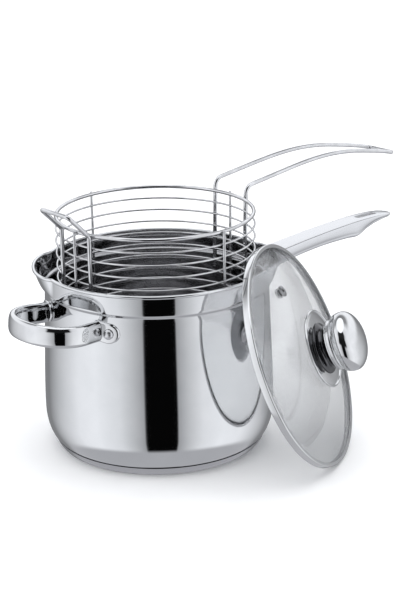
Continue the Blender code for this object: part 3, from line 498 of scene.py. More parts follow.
class Nodes(Tree):
    """A new material's tree. A place is the frame that its patterns follow."""

    def __init__(self, name, place=None):
        self.material = bpy.data.materials.new(name)
        self.material.use_nodes = True
        super().__init__(self.material.node_tree)
        self.shader = self.tree.nodes["Principled BSDF"]
        self.place = self.add("ShaderNodeTexCoord").outputs["Object"]
        if place:
            local = self.add("ShaderNodeMapping", vector_type="TEXTURE")
            local.inputs["Location"].default_value = place.translation
            local.inputs["Rotation"].default_value = place.to_euler()
            self.link(self.place, local.inputs["Vector"])
            self.place = local.outputs["Vector"]

    def stretched(self, scale):
        mapping = self.add("ShaderNodeMapping")
        mapping.inputs["Scale"].default_value = scale
        self.link(self.place, mapping.inputs["Vector"])
        return mapping.outputs["Vector"]

    def noise(self, scale, detail=4.0, place=None):
        node = self.add("ShaderNodeTexNoise")
        node.inputs["Scale"].default_value = scale
        node.inputs["Detail"].default_value = detail
        self.link(place or self.place, node.inputs["Vector"])
        return node.outputs["Fac"]

    def spun_lines(self, pitch):
        """Rings about the piece's own axis, as turning and polishing leave them."""
        split = self.add("ShaderNodeSeparateXYZ")
        self.link(self.place, split.inputs[0])
        flat = self.add("ShaderNodeCombineXYZ")
        self.link(split.outputs["X"], flat.inputs["X"])
        self.link(split.outputs["Y"], flat.inputs["Y"])
        length = self.add("ShaderNodeVectorMath", operation="LENGTH")
        self.link(flat.outputs[0], length.inputs[0])
        total = self.add("ShaderNodeMath", operation="ADD")
        self.link(length.outputs["Value"], total.inputs[0])
        self.link(split.outputs["Z"], total.inputs[1])
        line = self.add("ShaderNodeCombineXYZ")
        self.link(total.outputs[0], line.inputs["X"])
        return self.noise(1.0 / pitch, 3.0, line.outputs[0])

    def look(self, tone, dark, light, gloss, rough, start=0.35, end=0.65):
        """Colour from one pattern and roughness from another, each between two values."""
        node = self.add("ShaderNodeValToRGB")
        first, last = node.color_ramp.elements
        first.position, last.position = start, end
        first.color, last.color = (*dark, 1.0), (*light, 1.0)
        self.link(tone, node.inputs["Fac"])
        self.link(node.outputs["Color"], self.shader.inputs["Base Color"])
        self.link(self.ramp(gloss, *rough, start, end), self.shader.inputs["Roughness"])

    def bump(self, value, strength, distance):
        node = self.add("ShaderNodeBump")
        node.inputs["Strength"].default_value = strength
        node.inputs["Distance"].default_value = distance
        self.link(value, node.inputs["Height"])
        self.link(node.outputs["Normal"], self.shader.inputs["Normal"])

    def set(self, **values):
        for key, value in values.items():
            self.shader.inputs[key.replace("_", " ")].default_value = value


def mirror_steel(name, dark, light, rough=(0.035, 0.075), cloud=26.0, place=None, ripple=0.02):
    """Mirror-polished steel: faint clouding, hairline rings and a little unevenness in the gloss."""
    nodes = Nodes(name, place)
    nodes.set(Metallic=1.0)
    clouds = nodes.noise(cloud)
    lines = nodes.spun_lines(POLISH_PITCH)
    nodes.look(clouds, dark, light, lines, rough)
    nodes.bump(lines, ripple, POLISH_DEPTH)
    return nodes.material


def lined_steel(nodes, lines, dark, light, rough, strength):
    nodes.set(Metallic=1.0)
    nodes.look(lines, dark, light, lines, rough, 0.3, 0.7)
    nodes.bump(lines, strength, LINE_DEPTH)
    return nodes.material


def brushed_steel(name, dark, light, rough, scale):
    """Satin steel with fine brushing along one direction."""
    nodes = Nodes(name)
    lines = nodes.noise(1.0, 6.0, nodes.stretched(scale))
    return lined_steel(nodes, lines, dark, light, rough, 0.03)


def spun_steel(name, dark, light, rough, pitch=0.0009, strength=0.08):
    """Steel with the fine rings of a spun or turned finish."""
    nodes = Nodes(name)
    return lined_steel(nodes, nodes.spun_lines(pitch), dark, light, rough, strength)


def drawn_wire(name):
    """Bright wire: drawing marks, and a duller skin in places."""
    nodes = Nodes(name)
    nodes.set(Metallic=1.0)
    patches = nodes.noise(70.0, 4.0)
    nodes.look(patches, (0.62, 0.62, 0.63), (0.76, 0.76, 0.77), patches, (0.07, 0.15))
    nodes.bump(nodes.noise(900.0, 3.0), 0.03, 0.00005)
    return nodes.material


def clear_glass(name, place):
    """Lid glass with a grey cast and a trace of unevenness."""
    nodes = Nodes(name, place)
    nodes.set(Transmission_Weight=1.0, IOR=1.45, Metallic=0.0, Alpha=0.5)
    clouds = nodes.noise(18.0, 2.0)
    nodes.look(clouds, (0.50, 0.515, 0.53), (0.52, 0.535, 0.55), clouds, (0.0, 0.02))
    nodes.bump(nodes.noise(9.0, 1.0), 0.02, 0.0006)
    return nodes.material


def dull(name, dark, light, rough, scale, bump):
    """Plastic, rubber or paper, with a fine grain."""
    nodes = Nodes(name)
    grain = nodes.noise(scale, 5.0)
    nodes.look(grain, dark, light, grain, rough)
    nodes.bump(grain, 0.2, bump)
    return nodes.material


# Pot

CORNER_TOP = POT_UNDERSIDE + CORNER_HEIGHT


def body_radius(height):
    """Outer radius of the wall between the corner and the neck."""
    rise = abs(height - BELLY_HEIGHT) / (NECK_HEIGHT - BELLY_HEIGHT)
    full = math.hypot(1.0, BELLY_ROUNDING) - BELLY_ROUNDING
    eased = (math.hypot(rise, BELLY_ROUNDING) - BELLY_ROUNDING) / full
    return BELLY_RADIUS - (BELLY_RADIUS - NECK_RADIUS) * eased


FLOOR_RADIUS = body_radius(CORNER_TOP) - CORNER_WIDTH


def corner_radius_at(height):
    """Outer radius of the corner between the underside and the wall, a quarter of an oval."""
    drop = (CORNER_TOP - height) / CORNER_HEIGHT
    return FLOOR_RADIUS + CORNER_WIDTH * math.sqrt(1.0 - drop ** 2)


def lip_factor(angle):
    """How far the rim is drawn out into a pouring lip, from 0 to 1, at an angle."""
    best = 0.0
    for centre in LIP_ANGLES:
        away = abs(math.remainder(angle - centre, 2.0 * math.pi)) / LIP_HALF_WIDTH
        if away < 1.0:
            best = max(best, (1.0 - away ** LIP_FULLNESS) ** LIP_ROUNDING)
    return best


def with_lips(angle, radius, height):
    base = NECK_HEIGHT + STEP_RISE
    if height <= base:
        return radius
    rise = min((height - base) / (RIM_HEIGHT - base), 1.0)
    return radius + LIP_REACH * lip_factor(angle) * rise ** LIP_RISE


def wall_line(inset):
    """The wall from the underside's corner up to the bead, moved in by the inset."""
    line = []
    for across, up in arc((0.0, 0.0), 1.0, -90.0, 0.0, CORNER_STEPS):
        radius = FLOOR_RADIUS + (CORNER_WIDTH - inset) * across
        line.append((radius, CORNER_TOP + (CORNER_HEIGHT - inset) * up))
    for step in range(1, WALL_STEPS + 1):
        height = CORNER_TOP + (NECK_HEIGHT - CORNER_TOP) * step / WALL_STEPS
        line.append((body_radius(height) - inset, height))
    for step in range(1, COLLAR_STEPS + 1):
        share = step / COLLAR_STEPS
        ease = 0.5 - 0.5 * math.cos(math.pi * share)
        radius = NECK_RADIUS + (COLLAR_RADIUS - NECK_RADIUS) * ease
        lift = inset * 0.5 * math.sin(math.pi * share)
        line.append((radius - inset, NECK_HEIGHT + STEP_RISE * share + lift))
    top = NECK_HEIGHT + STEP_RISE
    for step in range(1, COLLAR_STEPS + 1):
        line.append((COLLAR_RADIUS - inset, top + (RIM_HEIGHT - BEAD_RADIUS - top) * step / COLLAR_STEPS))
    return line


def pot():
    outer = [(0.0, POT_UNDERSIDE)] + wall_line(0.0)
    bead = arc((COLLAR_RADIUS - BEAD_SETBACK, RIM_HEIGHT), BEAD_RADIUS, *BEAD_ARC, BEAD_STEPS)
    inner = list(reversed(wall_line(WALL))) + [(0.0, POT_UNDERSIDE + WALL)]
    shape = turned(outer + bead + inner, POT_STEPS, with_lips)
    polish = mirror_steel("pot_mirror", (0.70, 0.71, 0.72), (0.75, 0.755, 0.765))
    shell = piece("pot_shell", shape, polish, "pot", ["pot_body"], sharp=60.0)
    # Painted shade: the inside takes a darker steel colour than the outside, standing in for the shade in
    # the pot's hollow.
    spun = spun_steel("pot_inside_painted_shade", (0.47, 0.47, 0.48), (0.54, 0.54, 0.55), (0.05, 0.10), strength=0.03)
    shell.data.materials.append(spun)
    first_inner = (len(outer) + len(bead) + 2) * POT_STEPS
    for face in shell.data.polygons:
        face.material_index = int(face.index >= first_inner)
    base_plate()


def base_plate():
    """The base's steel cap: a foot, a slanting side and a lip that fits round the corner."""
    inside = corner_radius_at(CAP_HEIGHT) + SEAT_GAP
    shoulder = CAP_FOOT_RADIUS + CAP_EDGE_ROUNDING
    low = (shoulder, CAP_EDGE_ROUNDING * 0.35)
    side = ((shoulder + inside + CAP_WALL) / 2.0 + CAP_BULGE, CAP_HEIGHT / 2.0)
    outside = flowing([(CAP_FOOT_RADIUS, 0.0), low, side, (inside + CAP_WALL, CAP_HEIGHT)], 6)
    lip = [(inside + CAP_WALL * 0.5, CAP_HEIGHT)]
    hollow = [(inside, CAP_HEIGHT - CAP_WALL * 0.4), (side[0] - CAP_WALL, side[1] + CAP_WALL * 0.3),
              (low[0] - CAP_WALL * 0.5, low[1] + CAP_WALL), (CAP_FOOT_RADIUS, CAP_WALL), (0.0, CAP_WALL)]
    profile = [(0.0, 0.0)] + outside + lip + hollow
    satin = spun_steel("base_satin", (0.60, 0.60, 0.62), (0.66, 0.66, 0.68), (0.14, 0.22))
    piece("base_plate", turned(profile, POT_STEPS), satin, "pot", ["base_cap"])


# Side handle

def wall_frame(angle, height):
    """A frame on the wall's outer face, with +Z pointing straight out of the wall."""
    outward = Vector((math.cos(angle), math.sin(angle), 0.0))
    seat = outward * body_radius(height) + Vector((0.0, 0.0, height))
    return Matrix.Translation(seat) @ outward.to_track_quat("Z", "Y").to_matrix().to_4x4()


def loop_path():
    """Centre line of the tube, from the front lug round to the rear lug."""
    wall = body_radius(LOOP_HEIGHT)
    bow = LOOP_LENGTH - LOOP_STRAIGHT
    outline = [(0.0, LOOP_HALF_WIDTH), (LOOP_STRAIGHT / 2.0, LOOP_HALF_WIDTH)]
    for step in range(LOOP_STEPS + 1):
        turn = math.radians(90.0 - 90.0 * step / LOOP_STEPS)
        reach = LOOP_STRAIGHT + bow * math.cos(turn) ** (2.0 / LOOP_SQUARENESS)
        outline.append((reach, LOOP_HALF_WIDTH * math.sin(turn) ** (2.0 / LOOP_SQUARENESS)))
    path = []
    for reach, half in outline:
        share = reach / LOOP_LENGTH
        half -= (LOOP_HALF_WIDTH - LOOP_ROOT_HALF_WIDTH) * (1.0 - share) ** 2
        path.append(Vector((-wall - reach, half, LOOP_HEIGHT + LOOP_TILT_RISE * share)))
    return path + [Vector((point.x, -point.y, point.z)) for point in reversed(path[:-1])]


def side_loop():
    """The flattened tube. Each end is cut to the curve of the lug that it is welded to."""
    path = loop_path()
    sections = []
    for index, (centre, (across, up)) in enumerate(zip(path, travelling_frames(path, False))):
        section = []
        for step in range(TUBE_SIDES):
            angle = 2.0 * math.pi * step / TUBE_SIDES
            cosine, sine = math.cos(angle), math.sin(angle)
            wide = math.copysign(abs(cosine) ** (2.0 / TUBE_SQUARENESS), cosine) * TUBE_HALF_THICKNESS
            tall = math.copysign(abs(sine) ** (2.0 / TUBE_SQUARENESS), sine) * TUBE_HALF_HEIGHT
            point = centre + across * wide + up * tall
            if index in (0, len(path) - 1):
                face = body_radius(point.z) + LUG_THICKNESS + 2.0 * SEAT_GAP
                point.x = -math.sqrt(face ** 2 - point.y ** 2)
            section.append(point)
        sections.append(section)
    return lofted(sections)


def lug(side):
    """A plate that follows the wall, with rounded ends and eased edges."""
    outline = arc((LOOP_HEIGHT, LOOP_ROOT_HALF_WIDTH), LUG_RADIUS, 180.0, 360.0, LUG_STEPS)
    outline += arc((RIVET_HEIGHT, RIVET_SPREAD), LUG_RADIUS, 0.0, 180.0, LUG_STEPS)
    middle = Vector(((LOOP_HEIGHT + RIVET_HEIGHT) / 2.0, (LOOP_ROOT_HALF_WIDTH + RIVET_SPREAD) / 2.0))
    sections = []
    for shrink, out in LUG_SECTIONS:
        section = []
        for corner in outline:
            point = middle + (Vector(corner) - middle) * (1.0 - shrink)
            face = body_radius(point.x) + SEAT_GAP + LUG_THICKNESS * out
            section.append(Vector((-math.sqrt(face ** 2 - point.y ** 2), side * point.y, point.x)))
        sections.append(section)
    return lofted(sections)


def domed_rivet(radius, height, seat, tail):
    """A rivet along Z: a flat tail, a shank, and a domed head on its seat."""
    shank = radius * RIVET_SHANK_SHARE
    foot = radius * RIVET_TAIL_SHARE
    end = tail - RIVET_TAIL_THICKNESS
    profile = [(0.0, end), (foot, end), (foot, tail), (shank, tail), (shank, seat)]
    for degrees in RIVET_DOME_TURNS:
        turn = math.radians(degrees)
        profile.append((radius * math.cos(turn), seat + height * math.sin(turn)))
    profile.append((0.0, seat + height))
    return turned(profile, RIVET_STEPS)


def rivet(name, shape, place, node):
    finish = mirror_steel(name + "_mirror", (0.76, 0.765, 0.78), (0.82, 0.825, 0.84), (0.30, 0.40), 200.0,
                          place)
    piece(name, shape, finish, "pot", [node], place)


def side_handle():
    """The loop with its lugs and rivets, and the long handle's two rivets inside the pot."""
    polish = mirror_steel("handle_mirror", (0.70, 0.705, 0.715), (0.76, 0.765, 0.77), (0.03, 0.07), 60.0)
    piece("side_handle_loop", side_loop(), polish, "pot", ["side_handle_tube"])
    around = math.asin(RIVET_SPREAD / body_radius(RIVET_HEIGHT))
    side_rivet = domed_rivet(RIVET_HEAD_RADIUS, RIVET_HEAD_HEIGHT, LUG_THICKNESS + 3.0 * SEAT_GAP,
                             -WALL - 2.0 * SEAT_GAP)
    inner_rivet = domed_rivet(INNER_RIVET_RADIUS, INNER_RIVET_HEIGHT, WALL + 2.0 * SEAT_GAP,
                              FERRULE_RIVET_TAIL)
    reach = math.sqrt(body_radius(FERRULE_RIVET_HEIGHT) ** 2 - FERRULE_RIVET_SPREAD ** 2)
    inwards = Matrix.Rotation(math.radians(-90.0), 4, "Y")
    for side, word in ((-1, "front"), (1, "rear")):
        piece("side_handle_foot_" + word, lug(side), polish, "pot", ["side_handle_lug_" + word])
        rivet("side_rivet_" + word, side_rivet, wall_frame(math.pi - side * around, RIVET_HEIGHT),
              "side_handle_rivet_" + word)
        seat = Vector((reach, side * FERRULE_RIVET_SPREAD, FERRULE_RIVET_HEIGHT))
        rivet("long_rivet_" + word, inner_rivet, Matrix.Translation(seat) @ inwards,
              "long_handle_rivet_" + word)


# Long handle

def handle_section(x, half, top, low):
    """A flat-topped section with tight upper edges, swelling sides and round lower edges."""
    tight = min(HANDLE_TOP_EDGE, half * 0.4, (top - low) * 0.3)
    soft = min(HANDLE_LOW_EDGE, half * 0.6, (top - low) * 0.5)
    foot = half * HANDLE_FOOT_SHARE
    side_top, side_low = top - tight, low + soft * 0.8
    right = [(half * share, top + HANDLE_CROWN * (1.0 - share ** 2)) for share in (0.3, 0.6)]
    right += arc((half - tight, top - tight), tight, 90.0, 0.0, 6)
    for step in range(1, HANDLE_SIDE_STEPS + 1):
        share = step / HANDLE_SIDE_STEPS
        right.append((half - (half - foot) * share ** 2, side_top + (side_low - side_top) * share))
    for step in range(1, HANDLE_EDGE_STEPS + 1):
        turn = math.radians(90.0 * step / HANDLE_EDGE_STEPS)
        right.append((foot - soft * (1.0 - math.cos(turn)), side_low - (side_low - low) * math.sin(turn)))
    right.append((foot * 0.3, low))
    ring = right + [(-y, z) for y, z in reversed(right)]
    return [Vector((x, y, z)) for y, z in ring]


def handle_station(along, half, rise, depth):
    """Distance from the axis, half width, top height and underside height at one station."""
    top = HANDLE_TOP + HANDLE_RISE * rise
    far = HANDLE_START + HANDLE_LENGTH * along
    return Vector((far, HANDLE_HALF_WIDTH * half, top, top - HANDLE_DEPTH * depth))


def long_handle():
    satin = brushed_steel("handle_satin", (0.70, 0.705, 0.72), (0.75, 0.755, 0.77), (0.13, 0.19),
                          (60.0, 1500.0, 1500.0))
    stations = [handle_station(*shares) for shares in HANDLE_STATIONS]
    sections = [handle_section(*station) for station in flowing(stations, 6)]
    shell = piece("long_handle_grip", lofted(sections), satin, "pot", ["long_handle"],
                  sharp=30.0)
    slot_end = HANDLE_START + HANDLE_LENGTH - SLOT_FROM_TIP
    slot_start = slot_end - SLOT_LENGTH
    outline = arc((slot_start + SLOT_HALF_WIDTH, 0.0), SLOT_HALF_WIDTH, 90.0, 270.0, SLOT_STEPS)
    outline += arc((slot_end - SLOT_HALF_WIDTH, 0.0), SLOT_HALF_WIDTH, -90.0, 90.0, SLOT_STEPS)
    cut_through(shell, outline, HANDLE_TOP - 2.0 * HANDLE_DEPTH, HANDLE_TOP + 2.0 * HANDLE_RISE)

    polish = mirror_steel("ferrule_mirror", (0.72, 0.725, 0.73), (0.78, 0.785, 0.79), (0.04, 0.08), 50.0)
    wall_top = HANDLE_TOP - FERRULE_ROOT_DROP
    root = Vector((FERRULE_ROOT_RADIUS, FERRULE_ROOT_HALF_WIDTH, wall_top, wall_top - FERRULE_ROOT_DEPTH))
    end = Vector((HANDLE_START - SEAT_GAP, *stations[0][1:]))
    neck = [handle_section(*root.lerp(end, step / FERRULE_STEPS)) for step in range(FERRULE_STEPS + 1)]
    piece("long_handle_neck", lofted(neck), polish, "pot", ["long_handle_ferrule"],
          sharp=30.0)


def cut_through(target, outline, low, high):
    """Cuts the slot's outline straight down through the handle, and gives its wall a duller finish whose
    brighter colour is painted light.
    """
    ends = [[Vector((x, y, z)) for x, y in outline] for z in (low, high)]
    cutter = new_object("cutter", mesh_of("cutter", lofted(ends), 30.0))
    change = target.modifiers.new("slot", "BOOLEAN")
    change.solver = "EXACT"
    change.object = cutter
    depsgraph = bpy.context.evaluated_depsgraph_get()
    result = bpy.data.meshes.new_from_object(target.evaluated_get(depsgraph))
    target.modifiers.clear()
    target.data = result
    bpy.data.objects.remove(cutter, do_unlink=True)
    result.shade_smooth()
    result.set_sharp_from_angle(angle=math.radians(30.0))
    # Painted light: the slot's wall takes a brighter colour than the handle's steel, so the cavity reads
    # lit.
    result.materials.append(spun_steel("slot_wall_painted_light", (0.86, 0.86, 0.87), (0.92, 0.92, 0.93), (0.45, 0.6)))
    middle = (outline[0][0] + outline[-1][0]) / 2.0
    reach = SLOT_LENGTH / 2.0 + SLOT_MARGIN
    half = SLOT_HALF_WIDTH + SLOT_MARGIN
    for face in result.polygons:
        inside = abs(face.center.x - middle) < reach and abs(face.center.y) < half
        face.material_index = int(inside and abs(face.normal.z) < 0.3)


# Basket

def ring(radius, height, steps):
    points = []
    for step in range(steps):
        angle = 2.0 * math.pi * step / steps
        points.append((radius * math.cos(angle), radius * math.sin(angle), height))
    return points


def basket():
    steel = drawn_wire("basket_wire_steel")

    def wire(name, path, thick, sides, node, closed=False):
        piece(name, swept(path, thick, sides, closed), steel, "basket", [node])

    path = ring(BASKET_RADIUS, BASKET_RIM, RING_STEPS)
    wire("basket_rim_ring", path, RIM_WIRE, WIRE_SIDES, "basket_rim", True)
    kinds = ("basket_side_ring", "basket_floor_ring")
    for node in sorted(name for name in frame["nodes"] if name.startswith(kinds)):
        low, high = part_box(node)
        thick = (high.z - low.z) / 2.0
        path = ring(high.x - thick, (low.z + high.z) / 2.0, RING_STEPS)
        wire(node.replace("basket", "wire"), path, thick, THIN_WIRE_SIDES, node, True)
    upright = bend([(RIB_RADIUS, 0.0, BASKET_RIM + RIB_STUB), (RIB_RADIUS, 0.0, RIB_FLOOR),
                    (RIB_LOW.x, 0.0, RIB_FLOOR)], RIB_BEND, 12)
    for index in range(RIB_COUNT):
        turn = Matrix.Rotation(2.0 * math.pi * index / RIB_COUNT, 3, "Z")
        wire("basket_upright_%d" % (index + 1), [turn @ point for point in upright], RIB_WIRE, WIRE_SIDES,
             "basket_rib_%d" % (index + 1))
    wire("basket_hanger", hook_path(), GRIP_WIRE, GRIP_SIDES, "basket_hook")
    wire("basket_grip", grip_path(), GRIP_WIRE, GRIP_SIDES, "basket_handle")


def hook_path():
    """The hook's wire: up one leg, out over the top and down the other leg."""
    reach = math.sqrt(LEG_RADIUS ** 2 - HOOK_HALF_WIDTH ** 2)
    foot = BASKET_RIM - LEG_LENGTH
    points = []
    for side in (1, -1):
        half = side * HOOK_HALF_WIDTH
        leg = [(-reach, half, foot), (-reach, half, BASKET_RIM),
               (-reach - HOOK_OUT, half, BASKET_RIM + HOOK_UP)]
        points += leg if side > 0 else list(reversed(leg))
    return bend(points, HOOK_BEND, 8)


def grip_path():
    """The handle's wire: up both legs, out along the route and round the tip."""
    reach = math.sqrt(LEG_RADIUS ** 2 - GRIP_HALF_WIDTH ** 2)
    length = GRIP_ROUTE[-1][0]
    taper = GRIP_HALF_WIDTH - GRIP_TIP_HALF_WIDTH
    route = flowing([Vector((out, up)) for out, up in GRIP_ROUTE], ROUTE_STEPS)
    second = ROUTE_STEPS + 1
    points = []
    for side in (-1, 1):
        run = [Vector((reach, side * GRIP_HALF_WIDTH, BASKET_RIM - LEG_LENGTH))]
        for out, up in route:
            half = GRIP_HALF_WIDTH - taper * (out / length) ** GRIP_TAPER
            run.append(Vector((reach + out, side * half, BASKET_RIM + up)))
        first = bend([run[0], run[1], run[second]], GRIP_BEND, 8)
        run = first[:-1] + run[second:]
        points += run if side < 0 else list(reversed(run))
    half = len(points) // 2
    start, end = half - TIP_BACK, half + TIP_BACK
    tip = bend([points[start], points[half - 1], points[half], points[end - 1]], GRIP_TIP_BEND, 8)
    return points[:start] + tip + points[end:]


# Lid

GLASS_RADIUS = LID_RADIUS - BAND_WALL - SEAT_GAP
GLASS_TOP = -BAND_WALL - SEAT_GAP
DOME_RADIUS = GLASS_RADIUS - GLASS_FLAT_EDGE


def glass_height(radius):
    """Height of the glass's upper face."""
    if radius >= DOME_RADIUS:
        return GLASS_TOP
    radius = max(radius, KNOB_SEAT_RADIUS)
    return GLASS_TOP + GLASS_CROWN * (1.0 - (radius / DOME_RADIUS) ** GLASS_CURVE)


def lid_place():
    """The lid's own frame: its axis is the slide's, and the band's box gives its centre."""
    joint = next(item for item in frame["joints"] if item["child"] == "lid")
    normal = Vector(joint["axis"]).normalized()
    across = Vector((0.0, 0.0, 1.0)).cross(normal).normalized()
    climb = normal.cross(across)
    low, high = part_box("lid_band")
    centre = (low + high) / 2.0 + normal * BAND_HEIGHT / 2.0
    return Matrix.Translation(centre) @ Matrix((across, climb, normal)).transposed().to_4x4()


def lid():
    place = lid_place()
    pane(place)
    hoop(place)
    knob(place)
    vent(place)


def pane(place):
    """The domed glass, with a flat rim that lies in the band."""
    dome = DOME_RADIUS - KNOB_SEAT_RADIUS
    radii = list(GLASS_CENTRE_RADII)
    for step in range(1, DOME_STEPS + 1):
        radii.append(KNOB_SEAT_RADIUS + dome * step / DOME_STEPS)
    upper = [(radius, glass_height(radius)) for radius in radii]
    under = GLASS_TOP - GLASS_THICKNESS
    corners = [upper[-1], (GLASS_RADIUS, GLASS_TOP), (GLASS_RADIUS, under), (upper[-1][0], under)]
    edge = bend(corners, GLASS_EDGE_BEND, 4)[1:-1]
    lower = [(radius, height - GLASS_THICKNESS) for radius, height in reversed(upper)]
    piece("lid_pane", turned(upper + edge + lower, LID_STEPS), clear_glass("pane_glass", place), "lid",
          ["lid_glass"], place, 50.0)


def hoop(place):
    """The steel band round the glass, a channel that is duller inside, with painted shade darkening its
    colour there.
    """
    channel = LID_RADIUS - BAND_WALL
    lip = LID_RADIUS - BAND_LIP
    corners = [(lip, 0.0), (LID_RADIUS, 0.0), (LID_RADIUS, -BAND_HEIGHT), (lip, -BAND_HEIGHT)]
    outside = bend(corners, BAND_BEND, 6)
    inside = [(lip, -BAND_HEIGHT + BAND_WALL), (channel, -BAND_HEIGHT + BAND_WALL), (channel, -BAND_WALL),
              (lip, -BAND_WALL)]
    polish = mirror_steel("band_mirror", (0.74, 0.745, 0.75), (0.80, 0.805, 0.81), (0.03, 0.06), place=place)
    shape = turned(outside + inside, LID_STEPS)
    made = piece("lid_rim_band", shape, polish, "lid", ["lid_band"], place)
    # Painted shade: the channel's inner faces take a darker colour for the recess that holds the glass.
    spun = spun_steel("band_inside_painted_shade", (0.52, 0.52, 0.53), (0.60, 0.60, 0.61), (0.4, 0.55))
    made.data.materials.append(spun)
    for face in made.data.polygons:
        face.material_index = int(face.index >= len(outside) * LID_STEPS)


def vent(place):
    """A rolled eyelet through the glass, square to it."""
    near, far = VENT_FACET
    slope = (glass_height(far) - glass_height(near)) / (far - near)
    seat = Matrix.Translation((VENT_DISTANCE, 0.0, glass_height(VENT_DISTANCE)))
    tilt = Matrix.Rotation(VENT_ANGLE, 4, "Z") @ seat @ Matrix.Rotation(-math.atan(slope), 4, "Y")
    top = SEAT_GAP
    low = -GLASS_THICKNESS - SEAT_GAP
    roll = [(radius, top + height) for radius, height in VENT_ROLL]
    profile = bend([(VENT_BORE, low), *roll, (VENT_FLANGE, top)], VENT_ROLL_BEND, 5)
    foot = low - VENT_FOOT_THICKNESS
    profile += [(VENT_TUBE - SEAT_GAP, top), (VENT_TUBE - SEAT_GAP, low), (VENT_FOOT, low),
                (VENT_FOOT, foot), (VENT_BORE, foot - VENT_FOOT_CUP)]
    # Painted shade: the eyelet's steel takes a dark colour standing in for the shade of its bore.
    polish = mirror_steel("eyelet_painted_shade", (0.28, 0.28, 0.29), (0.36, 0.36, 0.37), place=place @ tilt)
    piece("lid_eyelet", turned(profile, VENT_STEPS), polish, "lid", ["lid_vent_eyelet"],
          place @ tilt)


def knob(place):
    """The knob's pieces, each seated on the one below it."""
    polish = mirror_steel("knob_mirror", (0.71, 0.715, 0.72), (0.77, 0.775, 0.78), (0.025, 0.055),
                          KNOB_CLOUD, place, KNOB_RIPPLE)
    seal_top = glass_height(0.0) + SEAT_GAP + SEAL_THICKNESS
    flange_top = knob_flange(place, polish, seal_top + SEAT_GAP)
    stem_top = knob_stem(place, flange_top + SEAT_GAP)
    collar_top = knob_collar(place, polish, stem_top + SEAT_GAP)
    knob_ball(place, polish, collar_top + SEAT_GAP)


def knob_flange(place, polish, low):
    """The wide disc on the glass: flat in the middle, then dished, with a rolled edge."""
    high = low + FLANGE_THICKNESS
    half_way = 0.5 * (FLANGE_DISH_RADIUS + FLANGE_RADIUS)
    upper = flowing([(KNOB_BORE, high), (FLANGE_FLAT_RADIUS, high), (FLANGE_DISH_RADIUS, high),
                     (half_way, high - FLANGE_DROP * 0.35),
                     (FLANGE_RADIUS - 2.0 * FLANGE_BEAD, high - FLANGE_DROP * 0.8)], 8)
    middle = (FLANGE_RADIUS - FLANGE_BEAD, high - FLANGE_DROP + FLANGE_BEAD_RISE)
    edge = arc(middle, FLANGE_BEAD, 160.0, -90.0, 14)
    lower = [(radius, height - FLANGE_THICKNESS) for radius, height in reversed(upper)]
    piece("knob_base_plate", turned(upper + edge + lower, KNOB_STEPS), polish, "lid", ["knob_flange"],
          place)
    return high


def knob_stem(place, low):
    """The waisted stem, near-black: the dark reflection of the flange and the ball is painted into its
    colour.
    """
    outline = flowing([(radius, low + STEM_HEIGHT * share) for radius, share in STEM_OUTLINE], 6)
    inside = [(radius - STEM_WALL, height) for radius, height in reversed(outline)]
    # Painted reflection: a near-black base colour stands in for what the polished stem mirrors.
    dark = mirror_steel("waist_painted_reflection", (0.08, 0.08, 0.085), (0.12, 0.12, 0.125), (0.08, 0.14),
                        KNOB_CLOUD, place, KNOB_RIPPLE)
    shape = turned(outline + inside, KNOB_STEPS)
    piece("knob_waist", shape, dark, "lid", ["knob_stem"], place)
    return low + STEM_HEIGHT


def knob_collar(place, polish, low):
    """The grooved ring under the ball."""
    high = low + COLLAR_RING_HEIGHT
    outline = [(radius, low + COLLAR_RING_HEIGHT * share) for radius, share in COLLAR_OUTLINE]
    shape = turned([(PLUG_BORE, low)] + outline + [(PLUG_BORE, high)], KNOB_STEPS)
    piece("knob_ring", shape, polish, "lid", ["knob_collar"], place)
    return high


def knob_ball(place, polish, low):
    """The hollow flattened ball: an oval below its widest place, and a fuller one above it."""
    equator = low + BALL_HEIGHT * BALL_EQUATOR
    rise = low + BALL_HEIGHT - equator
    swell = BALL_RADIUS - BALL_MOUTH
    outer = [(BALL_MOUTH, low)]
    for step in range(1, BALL_LOW_STEPS + 1):
        turn = math.radians(90.0 * step / BALL_LOW_STEPS)
        outer.append((BALL_MOUTH + swell * math.sin(turn), equator - (equator - low) * math.cos(turn)))
    for step in range(1, BALL_HIGH_STEPS):
        turn = math.radians(90.0 * step / BALL_HIGH_STEPS)
        outer.append((BALL_RADIUS * math.cos(turn) ** BALL_FULLNESS, equator + rise * math.sin(turn)))
    outer.append((0.0, equator + rise))
    inner = [(0.0, equator + rise - BALL_WALL), (BALL_MOUTH - BALL_BELLY_WALL, equator),
             (BALL_MOUTH - BALL_MOUTH_WALL, low)]
    shape = turned(list(reversed(outer + inner)), KNOB_STEPS)
    piece("knob_ball", shape, polish, "lid", ["knob_shell"], place, 50.0)


# Room: pale floor, soft light, and what polished steel mirrors.
# Each stop is degrees to the right of the camera, and how bright the room is there
SIDE_LIGHT = (
    (-180, 0.20), (-145, 0.24), (-120, 0.58), (-88, 0.94), (-66, 1.00), (-40, 0.84), (-26, 0.60),
    (-14.5, 0.38), (-14.0, 0.002), (17.0, 0.002), (17.5, 0.38), (29, 0.62), (43, 0.86), (66, 1.00),
    (88, 0.94), (120, 0.58), (145, 0.24), (180, 0.20),
)
BACKDROP_LIGHT = (
    (-180, 1.05), (-120, 1.00), (-66, 1.00), (-42, 0.80), (-38, 0.50), (-34, 0.01), (34, 0.01), (38, 0.50),
    (43, 0.80), (66, 1.00), (120, 1.00), (180, 1.05),
)
GAP_LIGHT = (
    (-180, 0.22), (-115, 0.30), (-85, 0.95), (-52, 0.80), (-40, 0.02), (40, 0.02), (52, 0.80), (85, 0.95),
    (115, 0.30), (180, 0.22),
)
LOW_LIGHT = (0.455, 0.46, 0.485)
OVERHEAD_LIGHT = (1.18, 1.20, 1.24)
LIGHT_TINT = (0.975, 0.993, 1.03)
